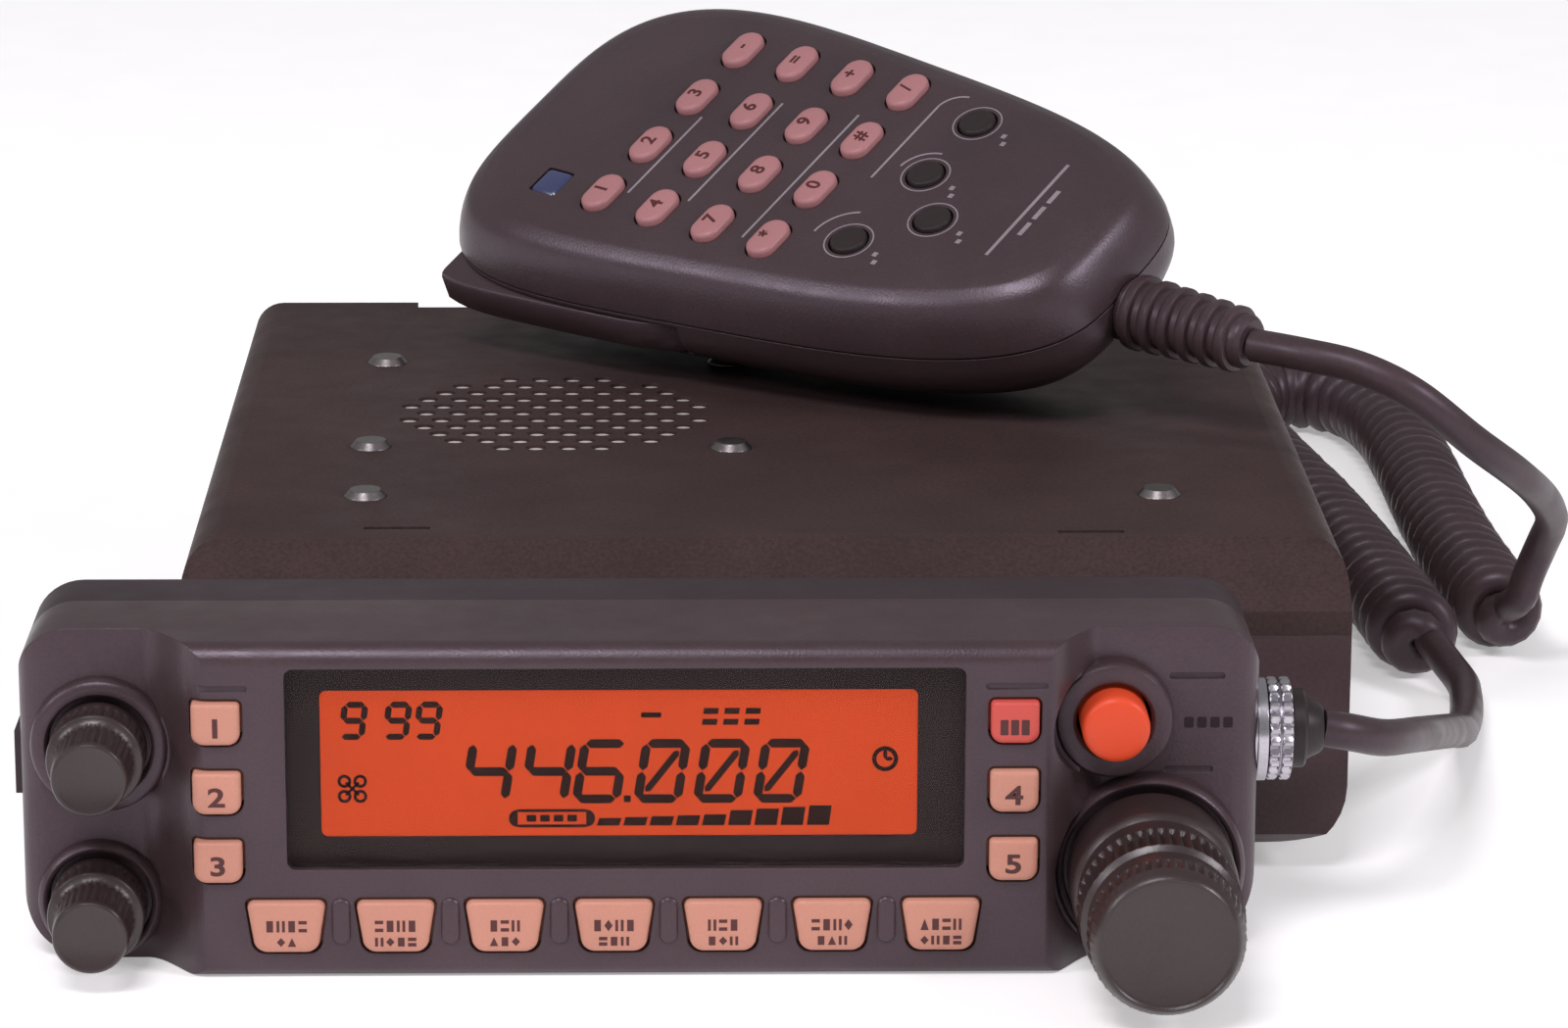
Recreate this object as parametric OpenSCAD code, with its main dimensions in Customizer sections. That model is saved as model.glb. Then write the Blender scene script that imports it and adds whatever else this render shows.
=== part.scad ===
// Mobile transceiver: main unit, control head on its front, keypad hand microphone lying on the cover,
// and the microphone's curly cord. Millimetres. The origin is the centre of the main unit's underside,
// on the surface that it stands on. +Z is up and the front faces -Y.

/* [Main unit] */
// Width of the main unit
body_w = 140; // [138:0.5:143]
// Top of the cover above the surface it stands on
body_h = 39.5; // [39:0.25:41]
// Radius of the cover's two long top edges
cover_r = 4; // [3:0.5:5]
// Radius of the chassis's two long bottom edges
chassis_r = 9; // [7:0.5:10]
// Distance between the centres of the speaker grille's holes
grille_pitch = 4.2; // [4:0.1:5]
// Diameter of the speaker grille's holes
grille_hole_d = 2.6; // [2:0.1:3]
// Distance between the two bracket screws on each side
bracket_spacing = 50; // [40:1:60]

/* [Control head] */
// How far the head sits to the left of the main unit
head_shift = 15; // [13:0.5:16]
// Radius of the head's top corners
head_top_r = 6; // [5:0.5:7]
// How far the head's ends are set back from its middle
wing_set_back = 7.5; // [5:0.5:8]
// Radius of the main dial's finger ring
dial_r = 9.4; // [8.5:0.1:9.8]
// Radius of the two small knobs
knob_r = 5.55; // [5:0.05:5.9]
// Width of a function key at its top edge
function_key_w = 8.8; // [8:0.1:9.4]
// How far a key of the head can be pressed
key_travel = 1; // [0.6:0.1:1]

/* [Microphone] */
// Length of the microphone's casing
mic_length = 96.6; // [95:0.2:97.4]
// Width of the microphone's casing at its widest
mic_width = 56; // [54:0.5:58]
// Height of the microphone's back below its face
mic_depth = 27; // [25:0.5:28]
// Distance between the rows of keys, along the microphone
mic_row_pitch = 9.5; // [9:0.1:10]
// Distance between the columns of keys, across the microphone
mic_column_pitch = 10.8; // [10:0.1:11]

/* [Cord] */
// Diameter of the cord
cord_d = 4.4; // [4:0.2:4.6]
// Outer diameter of the curly cord's coil
coil_d = 12.2; // [11.6:0.2:12.4]

/* [Hidden] */
$fn = 48;
gap = 0.3; // clearance round what moves

// Main unit
skin = 1.6; // sheet of the cover
chassis_wall = 3;
foot_h = 2; // height of the cooling ribs that it stands on
split_z = 30; // the cover's skirt meets the chassis here
front_y = -67;
rear_y = 69;
crease_y = -57;
crease_drop = 6.5;
rear_wall = 7;
side_x = body_w / 2;
grille_at = [-26.5, 5];
grille_r = 22;
front_post_at = [49.2, -37]; // the posts under the cover's two front screws
cover_screws_at = [
    [-49.7, 33], [-49.7, -12.5], [-3.6, -13.5], [-3.6, 33], [-front_post_at[0], front_post_at[1]], front_post_at
];
rear_screw_x = 40;
rear_screw_z = 34;
bracket_at = [5, 17]; // Y and Z of the bracket holes' middle
bracket_hole_r = 2.1;
fan_z = 17.5;
fan_bore_r = 10.8;
fan_shaft_r = 1;
antenna_at = [-50, 18];
antenna_r = 7.94;
gland_x = 58;
data_jack_x = 42;
speaker_jack_x = 27;
jack_z = 17;

// Control head, in coordinates of its own panel: x from its middle, z up
head_w = 142.4;
head_z0 = 0;
head_z1 = 39.6;
head_wall = 2;
head_low_r = [8, 10]; // radii of the bottom corners, left and right
head_rear_y = -75;
head_split_y = -84;
plateau_y = -103;
wing_y = plateau_y + wing_set_back;
plateau_x = [-49, 46];
wing_x = [-57, 53];
board_y = -89.5; // front of the head's circuit board
window_at = [-40.2, 36.9, 13.1, 36.9]; // x0, x1, z0, z1
panel_at = [-37.2, 32.4, 16, 35.8];
side_key_size = [5.5, 5];
side_key_z = [30.6, 22.4, 14.2];
side_key_x = [-48, 42.5];
function_key_x0 = -40.4;
function_key_pitch = 12.45;
function_key_z = 6.4;
function_key_h = 6.1;
key_front_y = plateau_y - 0.9;
power_at = [54.2, 28.9];
power_r = 3.9;
dial_at = [58.6, 11];
volume_at = [-61.8, 25.9];
squelch_at = [-62.2, 7.2];
collar_y = wing_y - 2.5; // front of the dial's and the power button's collars
knob_collar_y = wing_y - 1.6;
shaft_r = 3;
socket_at = [-88, 25]; // Y and Z of the microphone socket
latch_at = [-88.2, 22.35]; // Y and Z of the release latch

// Microphone, in coordinates of its own: x towards the cord, y to its right, z out of its face
mic_at = [0.2, 33.6, 69.55]; // middle of the keypad
mic_turn = [28.7, 4.8, -39.6];
mic_middle_x = 9.2;
mic_wall = 2;
mic_far_bulge = 0.9; // how much wider its right half is
mic_split = 8.5; // the casing's seam, below the face
mic_lead_depth = 12; // the cord leaves at this depth
lead_x = 54;
lead_r = 4.2;
// The casing's section: [depth below the face, distance inside the outline]
mic_front_section = [[0, 4.6], [0.5, 2.7], [1.8, 0.9], [4, -0.4], [6.5, -1.3], [mic_split, -1.7]];
mic_front_hollow = [[mic_wall, 5], [4, 2.4], [6.5, 0.9], [mic_split + 0.5, 0.3]];
mic_rear_section = [
    [mic_split, -1.7], [12, -1.7], [15, -0.2], [18, 2.6], [21, 6], [mic_depth - 2.4, 10.6], [mic_depth, 16]
];
mic_rear_hollow = [[mic_split - 0.5, 0.3], [12, 0.3], [15, 1.9], [18, 4.8], [21, 8.4], [mic_depth - 3, 12.5]];
mic_key_size = [4.2, 7];
program_keys_at = [[25, -12.5], [33.5, -5], [27, 2.5], [27.5, 14]];
ptt_x = [-36, 4];
ptt_y = [-31.4, -28.2]; // the bar's outer side at its two ends
ptt_depth = [9.3, 14.4];
ptt_travel = 1.5;

// Cord: its route from the microphone to the plug
mic_lead_route = [
    [63.4, -11.2, 52.3], [69, -15.6, 52.2], [76, -19, 51.2], [83, -20.6, 48], [91, -18, 41.3],
    [98, -10.5, 35], [103, 0, 29], [105.8, 9.6, 23.5], [105.8, 16.4, 18.4], [104.6, 20.2, 14.4], [103.2, 22.6, 11.8]
];
coil_route = [
    [102.4, 19.5, 6.2], [101.4, 34, 6.2], [100.3, 54, 6.2], [99.9, 78, 6.2], [100, 104, 6.2],
    [99.2, 126, 6.2], [96, 142.5, 6.2], [88.6, 150.5, 6.2], [80.4, 147.5, 6.2], [76.8, 136, 6.2],
    [77, 118, 6.2], [79.6, 98, 6.2], [82.6, 78, 6.2], [84.9, 58, 6.2], [87, 36, 6.2], [89.2, 10, 6.2]
];
plug_lead_route = [
    [92.4, 11, 3.4], [93.4, 0, 2.8], [92.2, -12, 3], [89.8, -25, 5], [86.6, -40, 9.6],
    [81.8, -58, 15], [77, -73, 19.4], [72, -83, 22.2], [67.6, -87.2, 24.2], [64.2, -88, 25]
];

head_x = -head_shift;
head_side_x = head_x + head_w / 2;
function_keys = [for (i = [1:7]) str("function_key_", i)];
side_keys = ["key_1", "key_2", "key_3", "key_select", "key_4", "key_5"];
mic_keys = [for (i = [1:16]) str("mic_key_", i)];

// ---- Shapes that repeat ----

function arc(c, r, a0, a1, n = 8) =
    [for (i = [0:n]) let (a = a0 + (a1 - a0) * i / n) [c[0] + r * cos(a), c[1] + r * sin(a)]];

// Upright box with rounded corners: r is [top left, top right, bottom right, bottom left]
function round_box(x0, x1, z0, z1, r, n = 8) = concat(
    arc([x1 - r[1], z1 - r[1]], r[1], 0, 90, n),
    arc([x0 + r[0], z1 - r[0]], r[0], 90, 180, n),
    arc([x0 + r[3], z0 + r[3]], r[3], 180, 270, n),
    arc([x1 - r[2], z0 + r[2]], r[2], 270, 360, n)
);

function ease(t) = t <= 0 ? 0 : t >= 1 ? 1 : t * t * (3 - 2 * t);

module along_y(y0, y1) translate([0, y1, 0]) rotate([90, 0, 0]) linear_extrude(y1 - y0) children();
module along_x(x0, x1) translate([x0, 0, 0]) rotate([90, 0, 90]) linear_extrude(x1 - x0) children();
module rod_y(x, z, r, y0, y1) translate([x, y1, z]) rotate([90, 0, 0]) cylinder(r = r, h = y1 - y0);
module rod_x(y, z, r, x0, x1) translate([x0, y, z]) rotate([0, 90, 0]) cylinder(r = r, h = x1 - x0);
module block(a, b) translate(a) cube(b - a);

// ---- Main unit ----

module chassis_section(inset) {
    bottom = foot_h + inset;
    r = max(chassis_r - inset, 1);
    x = side_x - inset;
    polygon(concat(
        arc([-x + r, bottom + r], r, 180, 270), arc([x - r, bottom + r], r, 270, 360),
        [[x, split_z + 2 * inset], [-x, split_z + 2 * inset]]
    ));
}

module fan_grille() {
    difference() {
        rod_y(0, fan_z, 9, rear_y - 3, rear_y - 1);
        rod_y(0, fan_z, 7.6, rear_y - 4, rear_y);
    }
    difference() {
        rod_y(0, fan_z, 5.2, rear_y - 3, rear_y - 1);
        rod_y(0, fan_z, 3.8, rear_y - 4, rear_y);
    }
    for (a = [45, 135])
        translate([0, rear_y - 2, fan_z]) rotate([0, a, 0]) cube([22.4, 2, 1.4], center = true);
}

module chassis() color([0.2, 0.18, 0.19]) {
    difference() {
        union() {
            intersection() {
                along_y(front_y, rear_y) chassis_section(0);
                along_x(-side_x - 1, side_x + 1) polygon([
                    [front_y, foot_h + 3], [front_y + 6, foot_h], [rear_y, foot_h],
                    [rear_y, split_z], [front_y, split_z]
                ]);
            }
            for (x = [-50:10:50]) block([x - 1, front_y + 7, 0], [x + 1, rear_y - 7, foot_h + 1]);
            // Frame that the control head is clipped to
            block([-58, head_rear_y, 6], [48, front_y + 1, split_z - 1]);
        }
        along_y(front_y + chassis_wall, rear_y - rear_wall) chassis_section(chassis_wall);
        block([-52, head_rear_y - 1, 10], [42, front_y - 2, split_z - 5]);
        block([-20, front_y - 3, 13], [10, front_y + 4, 22]);
        for (s = [-1, 1]) {
            for (z = [9.5, 23.5]) block([s * side_x - 1.2, -60, z], [s * side_x + 1.2, 62, z + 1.6]);
            for (y = [-0.5, 0.5])
                rod_x(bracket_at[0] + y * bracket_spacing, bracket_at[1], bracket_hole_r,
                    s > 0 ? side_x - 4 : -side_x - 1, s > 0 ? side_x + 1 : -side_x + 4);
        }
        rod_y(0, fan_z, 10.5, rear_y - rear_wall - 1, rear_y + 1);
        for (x = [-36:4:-16]) block([x - 1, rear_y - 4, 8], [x + 1, rear_y + 1, split_z + 1]);
        rod_y(antenna_at[0], antenna_at[1], 6, rear_y - rear_wall - 1, rear_y + 1);
        rod_y(gland_x, jack_z, 5.6, rear_y - rear_wall - 1, rear_y + 1);
        rod_y(data_jack_x, jack_z, 5, rear_y - rear_wall - 1, rear_y + 1);
        rod_y(speaker_jack_x, jack_z, 4.1, rear_y - rear_wall - 1, rear_y + 1);
    }
    fan_grille();
    // Posts under the main board and under the cover's front screws
    for (x = [-54, 54], y = [-50, 40])
        translate([x, y, foot_h + 2]) cylinder(r = 3, h = 5);
    for (s = [-1, 1]) translate([s * front_post_at[0], front_post_at[1], foot_h + 2]) difference() {
        cylinder(r = 3.2, h = body_h - skin - foot_h - 2);
        translate([0, 0, 20]) cylinder(r = 1.6, h = 20);
    }
}

function on_lattice(i, j) = [grille_pitch * (i + (j % 2 == 0 ? 0 : 0.5)), grille_pitch * j * sqrt(3) / 2];

module grille_plate() linear_extrude(skin) difference() {
    translate(grille_at) square(2 * grille_r + 6, center = true);
    for (i = [-6:6], j = [-6:6])
        if (norm(on_lattice(i, j)) < grille_r - grille_hole_d / 2)
            translate(grille_at + on_lattice(i, j)) circle(d = grille_hole_d, $fn = 16);
}

module cover_section(inset) {
    x = side_x - inset;
    top = body_h - inset;
    r = cover_r - inset;
    polygon(concat(
        [[x, split_z - (inset > 0 ? 1 : 0)]], arc([x - r, top - r], r, 0, 90),
        arc([-x + r, top - r], r, 90, 180), [[-x, split_z - (inset > 0 ? 1 : 0)]]
    ));
}

module cover_side(inset) {
    low = split_z - 2 * inset;
    polygon([
        [front_y + inset, low], [rear_y - inset, low], [rear_y - inset, body_h - inset],
        [crease_y + inset / 3, body_h - inset], [front_y + inset, body_h - crease_drop - inset / 3]
    ]);
}

module cover_solid(inset) intersection() {
    along_y(front_y - 1, rear_y + 1) cover_section(inset);
    along_x(-side_x - 1, side_x + 1) cover_side(inset);
}

module screw_holes() {
    for (at = cover_screws_at) translate([at[0], at[1], body_h - 3]) cylinder(r = 1.7, h = 4);
    for (x = [-1, 1]) rod_y(x * rear_screw_x, rear_screw_z, 1.7, rear_y - 7, rear_y + 1);
}

module top_cover() color([0.19, 0.16, 0.16]) {
    difference() {
        cover_solid(0);
        cover_solid(skin);
        translate([grille_at[0], grille_at[1], body_h - skin / 2])
            cube([2 * grille_r + 4, 2 * grille_r + 4, 2 * skin], center = true);
        block([-47, rear_y - 3, body_h - 3], [47, rear_y + 1, body_h + 1]);
        for (at = [[-44.6, -52], [39.5, -54.3]])
            block([at[0] - 4, at[1] - 0.6, body_h - 3], [at[0] + 4, at[1] + 0.6, body_h + 1]);
        screw_holes();
    }
    difference() {
        union() {
            translate([0, 0, body_h - skin]) grille_plate();
            block([-46, rear_y - 4.6, body_h - 4.6], [46, rear_y - 3, body_h - skin / 2]);
        }
        screw_holes();
    }
}

module screw() {
    cylinder(r1 = 2.7, r2 = 1.9, h = 0.9);
    translate([0, 0, -6]) cylinder(r = 1.5, h = 6.2);
}

module cover_screws() color([0.3, 0.28, 0.28]) {
    for (at = cover_screws_at) translate([at[0], at[1], body_h]) screw();
    for (s = [-1, 1]) translate([s * rear_screw_x, rear_y, rear_screw_z]) rotate([-90, 0, 0]) screw();
}

module main_board() color([0.1, 0.3, 0.16]) {
    difference() {
        block([-62, -56, 9.1], [62, 48, 10.6]);
        for (s = [-1, 1]) translate([s * front_post_at[0], front_post_at[1], 8]) cylinder(r = 3.5, h = 4);
    }
    block([-58, 4, 10.5], [-14, 44, 20]);
    block([4, -20, 10.5], [50, 30, 18]);
    block([-44, -50, 10.5], [-8, -38, 15]);
    for (x = [-40:14:44]) translate([x, -28, 10.5]) cylinder(r = 4, h = 10);
}

module speaker() color([0.15, 0.15, 0.15]) translate([grille_at[0], grille_at[1], 0])
    rotate_extrude() polygon([
        [0, 22], [13, 22], [13, 28], [15, 29], [20.5, 34.5], [22.5, 34.5], [22.5, body_h - skin],
        [20.5, body_h - skin], [19.5, 35.4], [6, 31.5], [0, 33]
    ]);

module fan_frame() color([0.1, 0.1, 0.1]) {
    difference() {
        block([-12.5, 55.5, fan_z - 12.5], [12.5, rear_y - rear_wall - 0.05, fan_z + 12.5]);
        rod_y(0, fan_z, fan_bore_r, 55, 63);
        for (x = [-1, 1], z = [-1, 1]) rod_y(x * 10.4, fan_z + z * 10.4, 1.3, 55, 63);
    }
    difference() {
        union() {
            rod_y(0, fan_z, 4.2, 60.7, 61.9);
            for (a = [30, 150, 270])
                translate([0, 61.3, fan_z]) rotate([0, a, 0])
                    translate([0, -0.6, -0.7]) cube([11.4, 1.2, 1.4]);
        }
        rod_y(0, fan_z, fan_shaft_r + 0.05, 55, 63);
    }
}

module fan_rotor() color([0.12, 0.12, 0.12]) {
    rod_y(0, fan_z, 4.2, 56.2, 60.4);
    rod_y(0, fan_z, fan_shaft_r, 60.2, 61.8);
    for (a = [0:360 / 7:359])
        translate([0, 58.3, fan_z]) rotate([0, a, 0]) translate([6.6, 0, 0])
            rotate([35, 0, 0]) cube([6.4, 0.7, 4.4], center = true);
}

module antenna_socket() color([0.75, 0.74, 0.72]) difference() {
    union() {
        along_y(rear_y, rear_y + 1.6)
            polygon(round_box(antenna_at[0] - 9, antenna_at[0] + 9, antenna_at[1] - 9,
                antenna_at[1] + 9, [1.5, 1.5, 1.5, 1.5], 3));
        rod_y(antenna_at[0], antenna_at[1], antenna_r, rear_y + 1.5, rear_y + 12.6);
        rod_y(antenna_at[0], antenna_at[1], 5.8, rear_y - rear_wall, rear_y + 1);
    }
    difference() {
        rod_y(antenna_at[0], antenna_at[1], 6.2, rear_y + 3, rear_y + 13);
        rod_y(antenna_at[0], antenna_at[1], 5, rear_y + 2, rear_y + 11);
    }
    rod_y(antenna_at[0], antenna_at[1], 2, rear_y + 4, rear_y + 13);
    for (x = [-1, 1], z = [-1, 1])
        rod_y(antenna_at[0] + 6.7 * x, antenna_at[1] + 6.7 * z, 1.2, rear_y - 1, rear_y + 2);
}

module rear_jacks() color([0.08, 0.08, 0.08]) {
    difference() {
        union() {
            rod_y(gland_x, jack_z, 5.5, rear_y - rear_wall, rear_y + 5);
            rod_y(gland_x, jack_z, 7, rear_y, rear_y + 1.5);
        }
        rod_y(gland_x, jack_z, 3.5, rear_y - rear_wall - 1, rear_y + 6);
    }
    difference() {
        union() {
            rod_y(data_jack_x, jack_z, 4.9, rear_y - rear_wall, rear_y + 0.5);
            rod_y(data_jack_x, jack_z, 5.6, rear_y, rear_y + 0.8);
        }
        difference() {
            rod_y(data_jack_x, jack_z, 4.2, rear_y - 5, rear_y + 2);
            rod_y(data_jack_x, jack_z, 3, rear_y - 6, rear_y - 0.5);
        }
    }
    difference() {
        union() {
            rod_y(speaker_jack_x, jack_z, 4, rear_y - 14, rear_y + 0.5);
            rod_y(speaker_jack_x, jack_z, 4.8, rear_y, rear_y + 0.8);
        }
        rod_y(speaker_jack_x, jack_z, 1.8, rear_y - 12, rear_y + 2);
    }
}

// ---- Control head ----

function s_curve(x) =
    ease((x - wing_x[0]) / (plateau_x[0] - wing_x[0])) * ease((wing_x[1] - x) / (wing_x[1] - plateau_x[1]));
function face_y(x) = wing_y + (plateau_y - wing_y) * s_curve(x);

// The head's outline from above, from the face back to rear
function head_plan(inset, rear, n = 10, r = 3) = concat(
    [[-head_w / 2 + inset, rear]],
    arc([-head_w / 2 + inset + r, wing_y + inset + r], r, 180, 270, 5),
    [for (i = [0:n]) let (x = wing_x[0] + (plateau_x[0] - wing_x[0]) * i / n) [x, face_y(x) + inset]],
    [for (i = [0:n]) let (x = plateau_x[1] + (wing_x[1] - plateau_x[1]) * i / n) [x, face_y(x) + inset]],
    arc([head_w / 2 - inset - r, wing_y + inset + r], r, 270, 360, 5),
    [[head_w / 2 - inset, rear]]
);

function head_outline(inset) = round_box(
    -head_w / 2 + inset, head_w / 2 - inset, head_z0 + inset, head_z1 - inset,
    [for (r = [head_top_r, head_top_r, head_low_r[1], head_low_r[0]]) r - inset], 10
);

function head_side(inset, rear) = concat(
    [[rear, head_z0 + inset]],
    arc([plateau_y + inset + 2, head_z0 + inset + 2], 2, 270, 180, 5),
    arc([plateau_y + inset + 2.5, head_z1 - inset - 2.5], 2.5, 180, 90, 5),
    [[rear, head_z1 - inset]]
);

module head_solid(inset, front, rear) translate([head_x, 0, 0]) intersection() {
    translate([0, 0, -1]) linear_extrude(43) polygon(head_plan(inset, rear));
    along_y(front, rear) polygon(head_outline(inset));
    along_x(-80, 80) polygon(head_side(inset, rear));
}

// A knob's recess and collar in the head's face
module collar_clearance(at, r, y) rod_y(head_x + at[0], at[1], r, -115, y);
module collar(at, r, y) rod_y(head_x + at[0], at[1], r, y, wing_y + 1.5);

function key_outline(x, z, w, h, grow) = round_box(
    x - w / 2 - grow, x + w / 2 + grow, z - h / 2 - grow, z + h / 2 + grow,
    [0.5 + grow, 0.5 + grow, 1.4 + grow, 1.4 + grow], 4
);

// A function key is narrower at its lower edge
function function_key_outline(i, grow) =
    let (
        x = function_key_x0 + i * function_key_pitch, w = function_key_w / 2 + grow,
        v = w - 0.6, z0 = function_key_z - function_key_h / 2 - grow,
        z1 = function_key_z + function_key_h / 2 + grow, r = 1.6
    ) concat(
        arc([x + w - 0.8, z1 - 0.8], 0.8, 0, 90, 4), arc([x - w + 0.8, z1 - 0.8], 0.8, 90, 180, 4),
        arc([x - v + r, z0 + r], r, 180, 270, 5), arc([x + v - r, z0 + r], r, 270, 360, 5)
    );

function side_key_at(i) = [side_key_x[floor(i / 3)], side_key_z[i % 3]];
function side_key_outline(i, grow) =
    key_outline(side_key_at(i)[0], side_key_at(i)[1], side_key_size[0], side_key_size[1], grow);

module head_front_shell() color([0.24, 0.23, 0.27]) difference() {
    union() {
        difference() {
            head_solid(0, -110, head_split_y);
            collar_clearance(dial_at, 11.3, collar_y);
            collar_clearance(power_at, 7.2, collar_y);
            collar_clearance(volume_at, 8.2, knob_collar_y);
            collar_clearance(squelch_at, 7.4, knob_collar_y);
        }
        collar(dial_at, 10.6, collar_y);
        collar(power_at, 6.5, collar_y);
        collar(volume_at, 7.6, knob_collar_y);
        collar(squelch_at, 6.7, knob_collar_y);
    }
    difference() {
        head_solid(head_wall, -110, head_split_y + 1);
        collar(dial_at, 10.6, wing_y - 1);
        collar(volume_at, 7.6, wing_y - 1);
        collar(squelch_at, 6.7, wing_y - 1);
    }
    translate([head_x, 0, 0]) {
        along_y(-110, plateau_y + head_wall + 1)
            polygon(round_box(window_at[0], window_at[1], window_at[2], window_at[3], [1, 1, 1, 1], 3));
        along_y(plateau_y + head_wall - 0.01, plateau_y + head_wall + 4) polygon(round_box(
            window_at[0] - 1.1, window_at[1] + 1.1, window_at[2] - 1.1, window_at[3] + 0.7, [1, 1, 1, 1], 3));
        for (i = [0:5]) along_y(-110, plateau_y + 7) polygon(side_key_outline(i, gap));
        for (i = [0:6]) along_y(-110, plateau_y + 3) polygon(function_key_outline(i, gap));
    }
    rod_y(head_x + power_at[0], power_at[1], power_r + gap, -110, -90);
    rod_y(head_x + dial_at[0], dial_at[1], shaft_r + 0.6, -110, -90);
    for (at = [volume_at, squelch_at]) rod_y(head_x + at[0], at[1], shaft_r + 0.6, -110, -90);
    rod_x(socket_at[0], socket_at[1], 5.8, 46, 62);
    block([-90, latch_at[0] - 3 - gap, latch_at[1] - 3.75 - gap],
        [-80, latch_at[0] + 3 + gap, latch_at[1] + 3.75 + gap]);
}

module head_rear_shell() color([0.2, 0.19, 0.21]) translate([head_x, 0, 0]) difference() {
    along_y(head_split_y, head_rear_y) polygon(head_outline(0));
    along_y(head_split_y - 1, head_rear_y - head_wall) polygon(head_outline(head_wall));
    along_y(head_rear_y - 3, head_rear_y + 1)
        polygon(round_box(-4, 24, 13, 22, [1, 1, 1, 1], 3));
    for (s = [-1, 1]) block([s * 60 - 8, head_rear_y - 1, 12], [s * 60 + 8, head_rear_y + 1, 30]);
    rod_x(socket_at[0], socket_at[1], 5.8, 46 - head_x, 62 - head_x);
}

module pot(at, r, depth) translate([head_x, 0, 0]) difference() {
    rod_y(at[0], at[1], r, board_y - depth, board_y + 0.1);
    rod_y(at[0], at[1], shaft_r + 0.05, board_y - depth - 1, board_y - 0.5);
}

module head_board() color([0.1, 0.3, 0.16]) {
    block([-80.6, board_y, 3.2], [44, board_y + 1.5, 37]);
    block([43, board_y, 3.2], [50, board_y + 1.5, 17.5]);
    pot(dial_at, 5.6, 3.2);
    pot(volume_at, 4.1, 3.2);
    pot(squelch_at, 4.1, 3.2);
    block([-19, board_y + 1.4, 13.5], [8, head_rear_y - 1, 21.5]);
}

module display_window() color([0.12, 0.1, 0.1, 0.5]) translate([head_x, 0, 0]) {
    along_y(plateau_y + 0.8, plateau_y + head_wall) polygon(round_box(
        window_at[0] + 0.1, window_at[1] - 0.1, window_at[2] + 0.1, window_at[3] - 0.1, [1, 1, 1, 1], 3));
    along_y(plateau_y + head_wall, plateau_y + head_wall + 0.8) polygon(round_box(
        window_at[0] - 1, window_at[1] + 1, window_at[2] - 1, window_at[3] + 0.6, [1, 1, 1, 1], 3));
}

module display_panel() color([0.9, 0.35, 0.12]) translate([head_x, 0, 0])
    block([panel_at[0], plateau_y + 3.1, panel_at[2]], [panel_at[1], board_y - 0.1, panel_at[3]]);

// A key: its cap through the shell, a rim behind the wall and a stem towards the board
module key_body(x, z, wall_back) translate([head_x, 0, 0]) {
    rod_y(x, z, 1.2, wall_back + 0.8, board_y - key_travel - gap);
    children();
}

module side_key(i) {
    at = side_key_at(i);
    key_body(at[0], at[1], -101) {
        along_y(key_front_y, -100.5) polygon(side_key_outline(i, 0));
        along_y(-96.4, -95.6) translate([at[0], at[1]]) square([7, 6.6], center = true);
        along_y(-100.6, -96) translate([at[0], at[1]]) square([4.6, 4.2], center = true);
    }
}

module function_key(i) {
    x = function_key_x0 + i * function_key_pitch;
    key_body(x, function_key_z, -100.4) {
        along_y(key_front_y, -100.1) polygon(function_key_outline(i, 0));
        along_y(-100.2, -99.4) polygon(function_key_outline(i, 0.6));
    }
}

module key_1() color([0.85, 0.55, 0.5]) side_key(0);
module key_2() color([0.85, 0.55, 0.5]) side_key(1);
module key_3() color([0.85, 0.5, 0.48]) side_key(2);
module key_select() color([0.85, 0.3, 0.28]) side_key(3);
module key_4() color([0.85, 0.55, 0.45]) side_key(4);
module key_5() color([0.85, 0.5, 0.45]) side_key(5);

module power_button() color([0.9, 0.3, 0.2]) {
    at = [head_x + power_at[0], power_at[1]];
    rod_y(at[0], at[1], power_r, collar_y - 3.6, wing_y + 2.4);
    rod_y(at[0], at[1], power_r + 1, wing_y + 2.3, wing_y + 3.1);
    rod_y(at[0], at[1], 1.2, wing_y + 3, board_y - key_travel - gap);
}

module main_dial() color([0.2, 0.18, 0.18]) translate([head_x + dial_at[0], -124, dial_at[1]])
    rotate([-90, 0, 0]) {
        rotate_extrude() polygon([
            [0, 0.3], [dial_r - 2.4, 0.3], [dial_r - 1.9, 0], [dial_r - 1.6, 0], [dial_r - 0.5, 1.2],
            [dial_r - 0.4, 1.6], [dial_r - 0.4, 4], [dial_r - 0.8, 4.4], [dial_r - 0.8, 7.2], [dial_r, 7.8],
            [dial_r, 13.6], [dial_r - 0.5, 14.2], [dial_r - 0.5, 17.4], [dial_r + 0.2, 18],
            [dial_r + 0.2, 25.4], [0, 25.4]
        ]);
        cylinder(r = shaft_r, h = 33);
    }

// The two small knobs are alike
module small_knob(at) translate([head_x + at[0], -109.5, at[1]]) rotate([-90, 0, 0]) {
    rotate_extrude() polygon([
        [0, 0.2], [3.4, 0.2], [3.9, 0], [4.2, 0.4], [4.5, 6.2], [knob_r, 7], [knob_r, 12], [0, 12]
    ]);
    cylinder(r = shaft_r, h = 19);
}

module volume_knob() color([0.15, 0.13, 0.13]) small_knob(volume_at);
module squelch_knob() color([0.15, 0.13, 0.13]) small_knob(squelch_at);

module release_latch() color([0.17, 0.16, 0.18]) {
    block([-87.1, latch_at[0] - 3, latch_at[1] - 3.75], [-83.7, latch_at[0] + 3, latch_at[1] + 3.75]);
    block([-83.8, latch_at[0] - 3.2, latch_at[1] - 4.5], [-83.2, latch_at[0] + 3.2, latch_at[1] + 4.5]);
}

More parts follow.
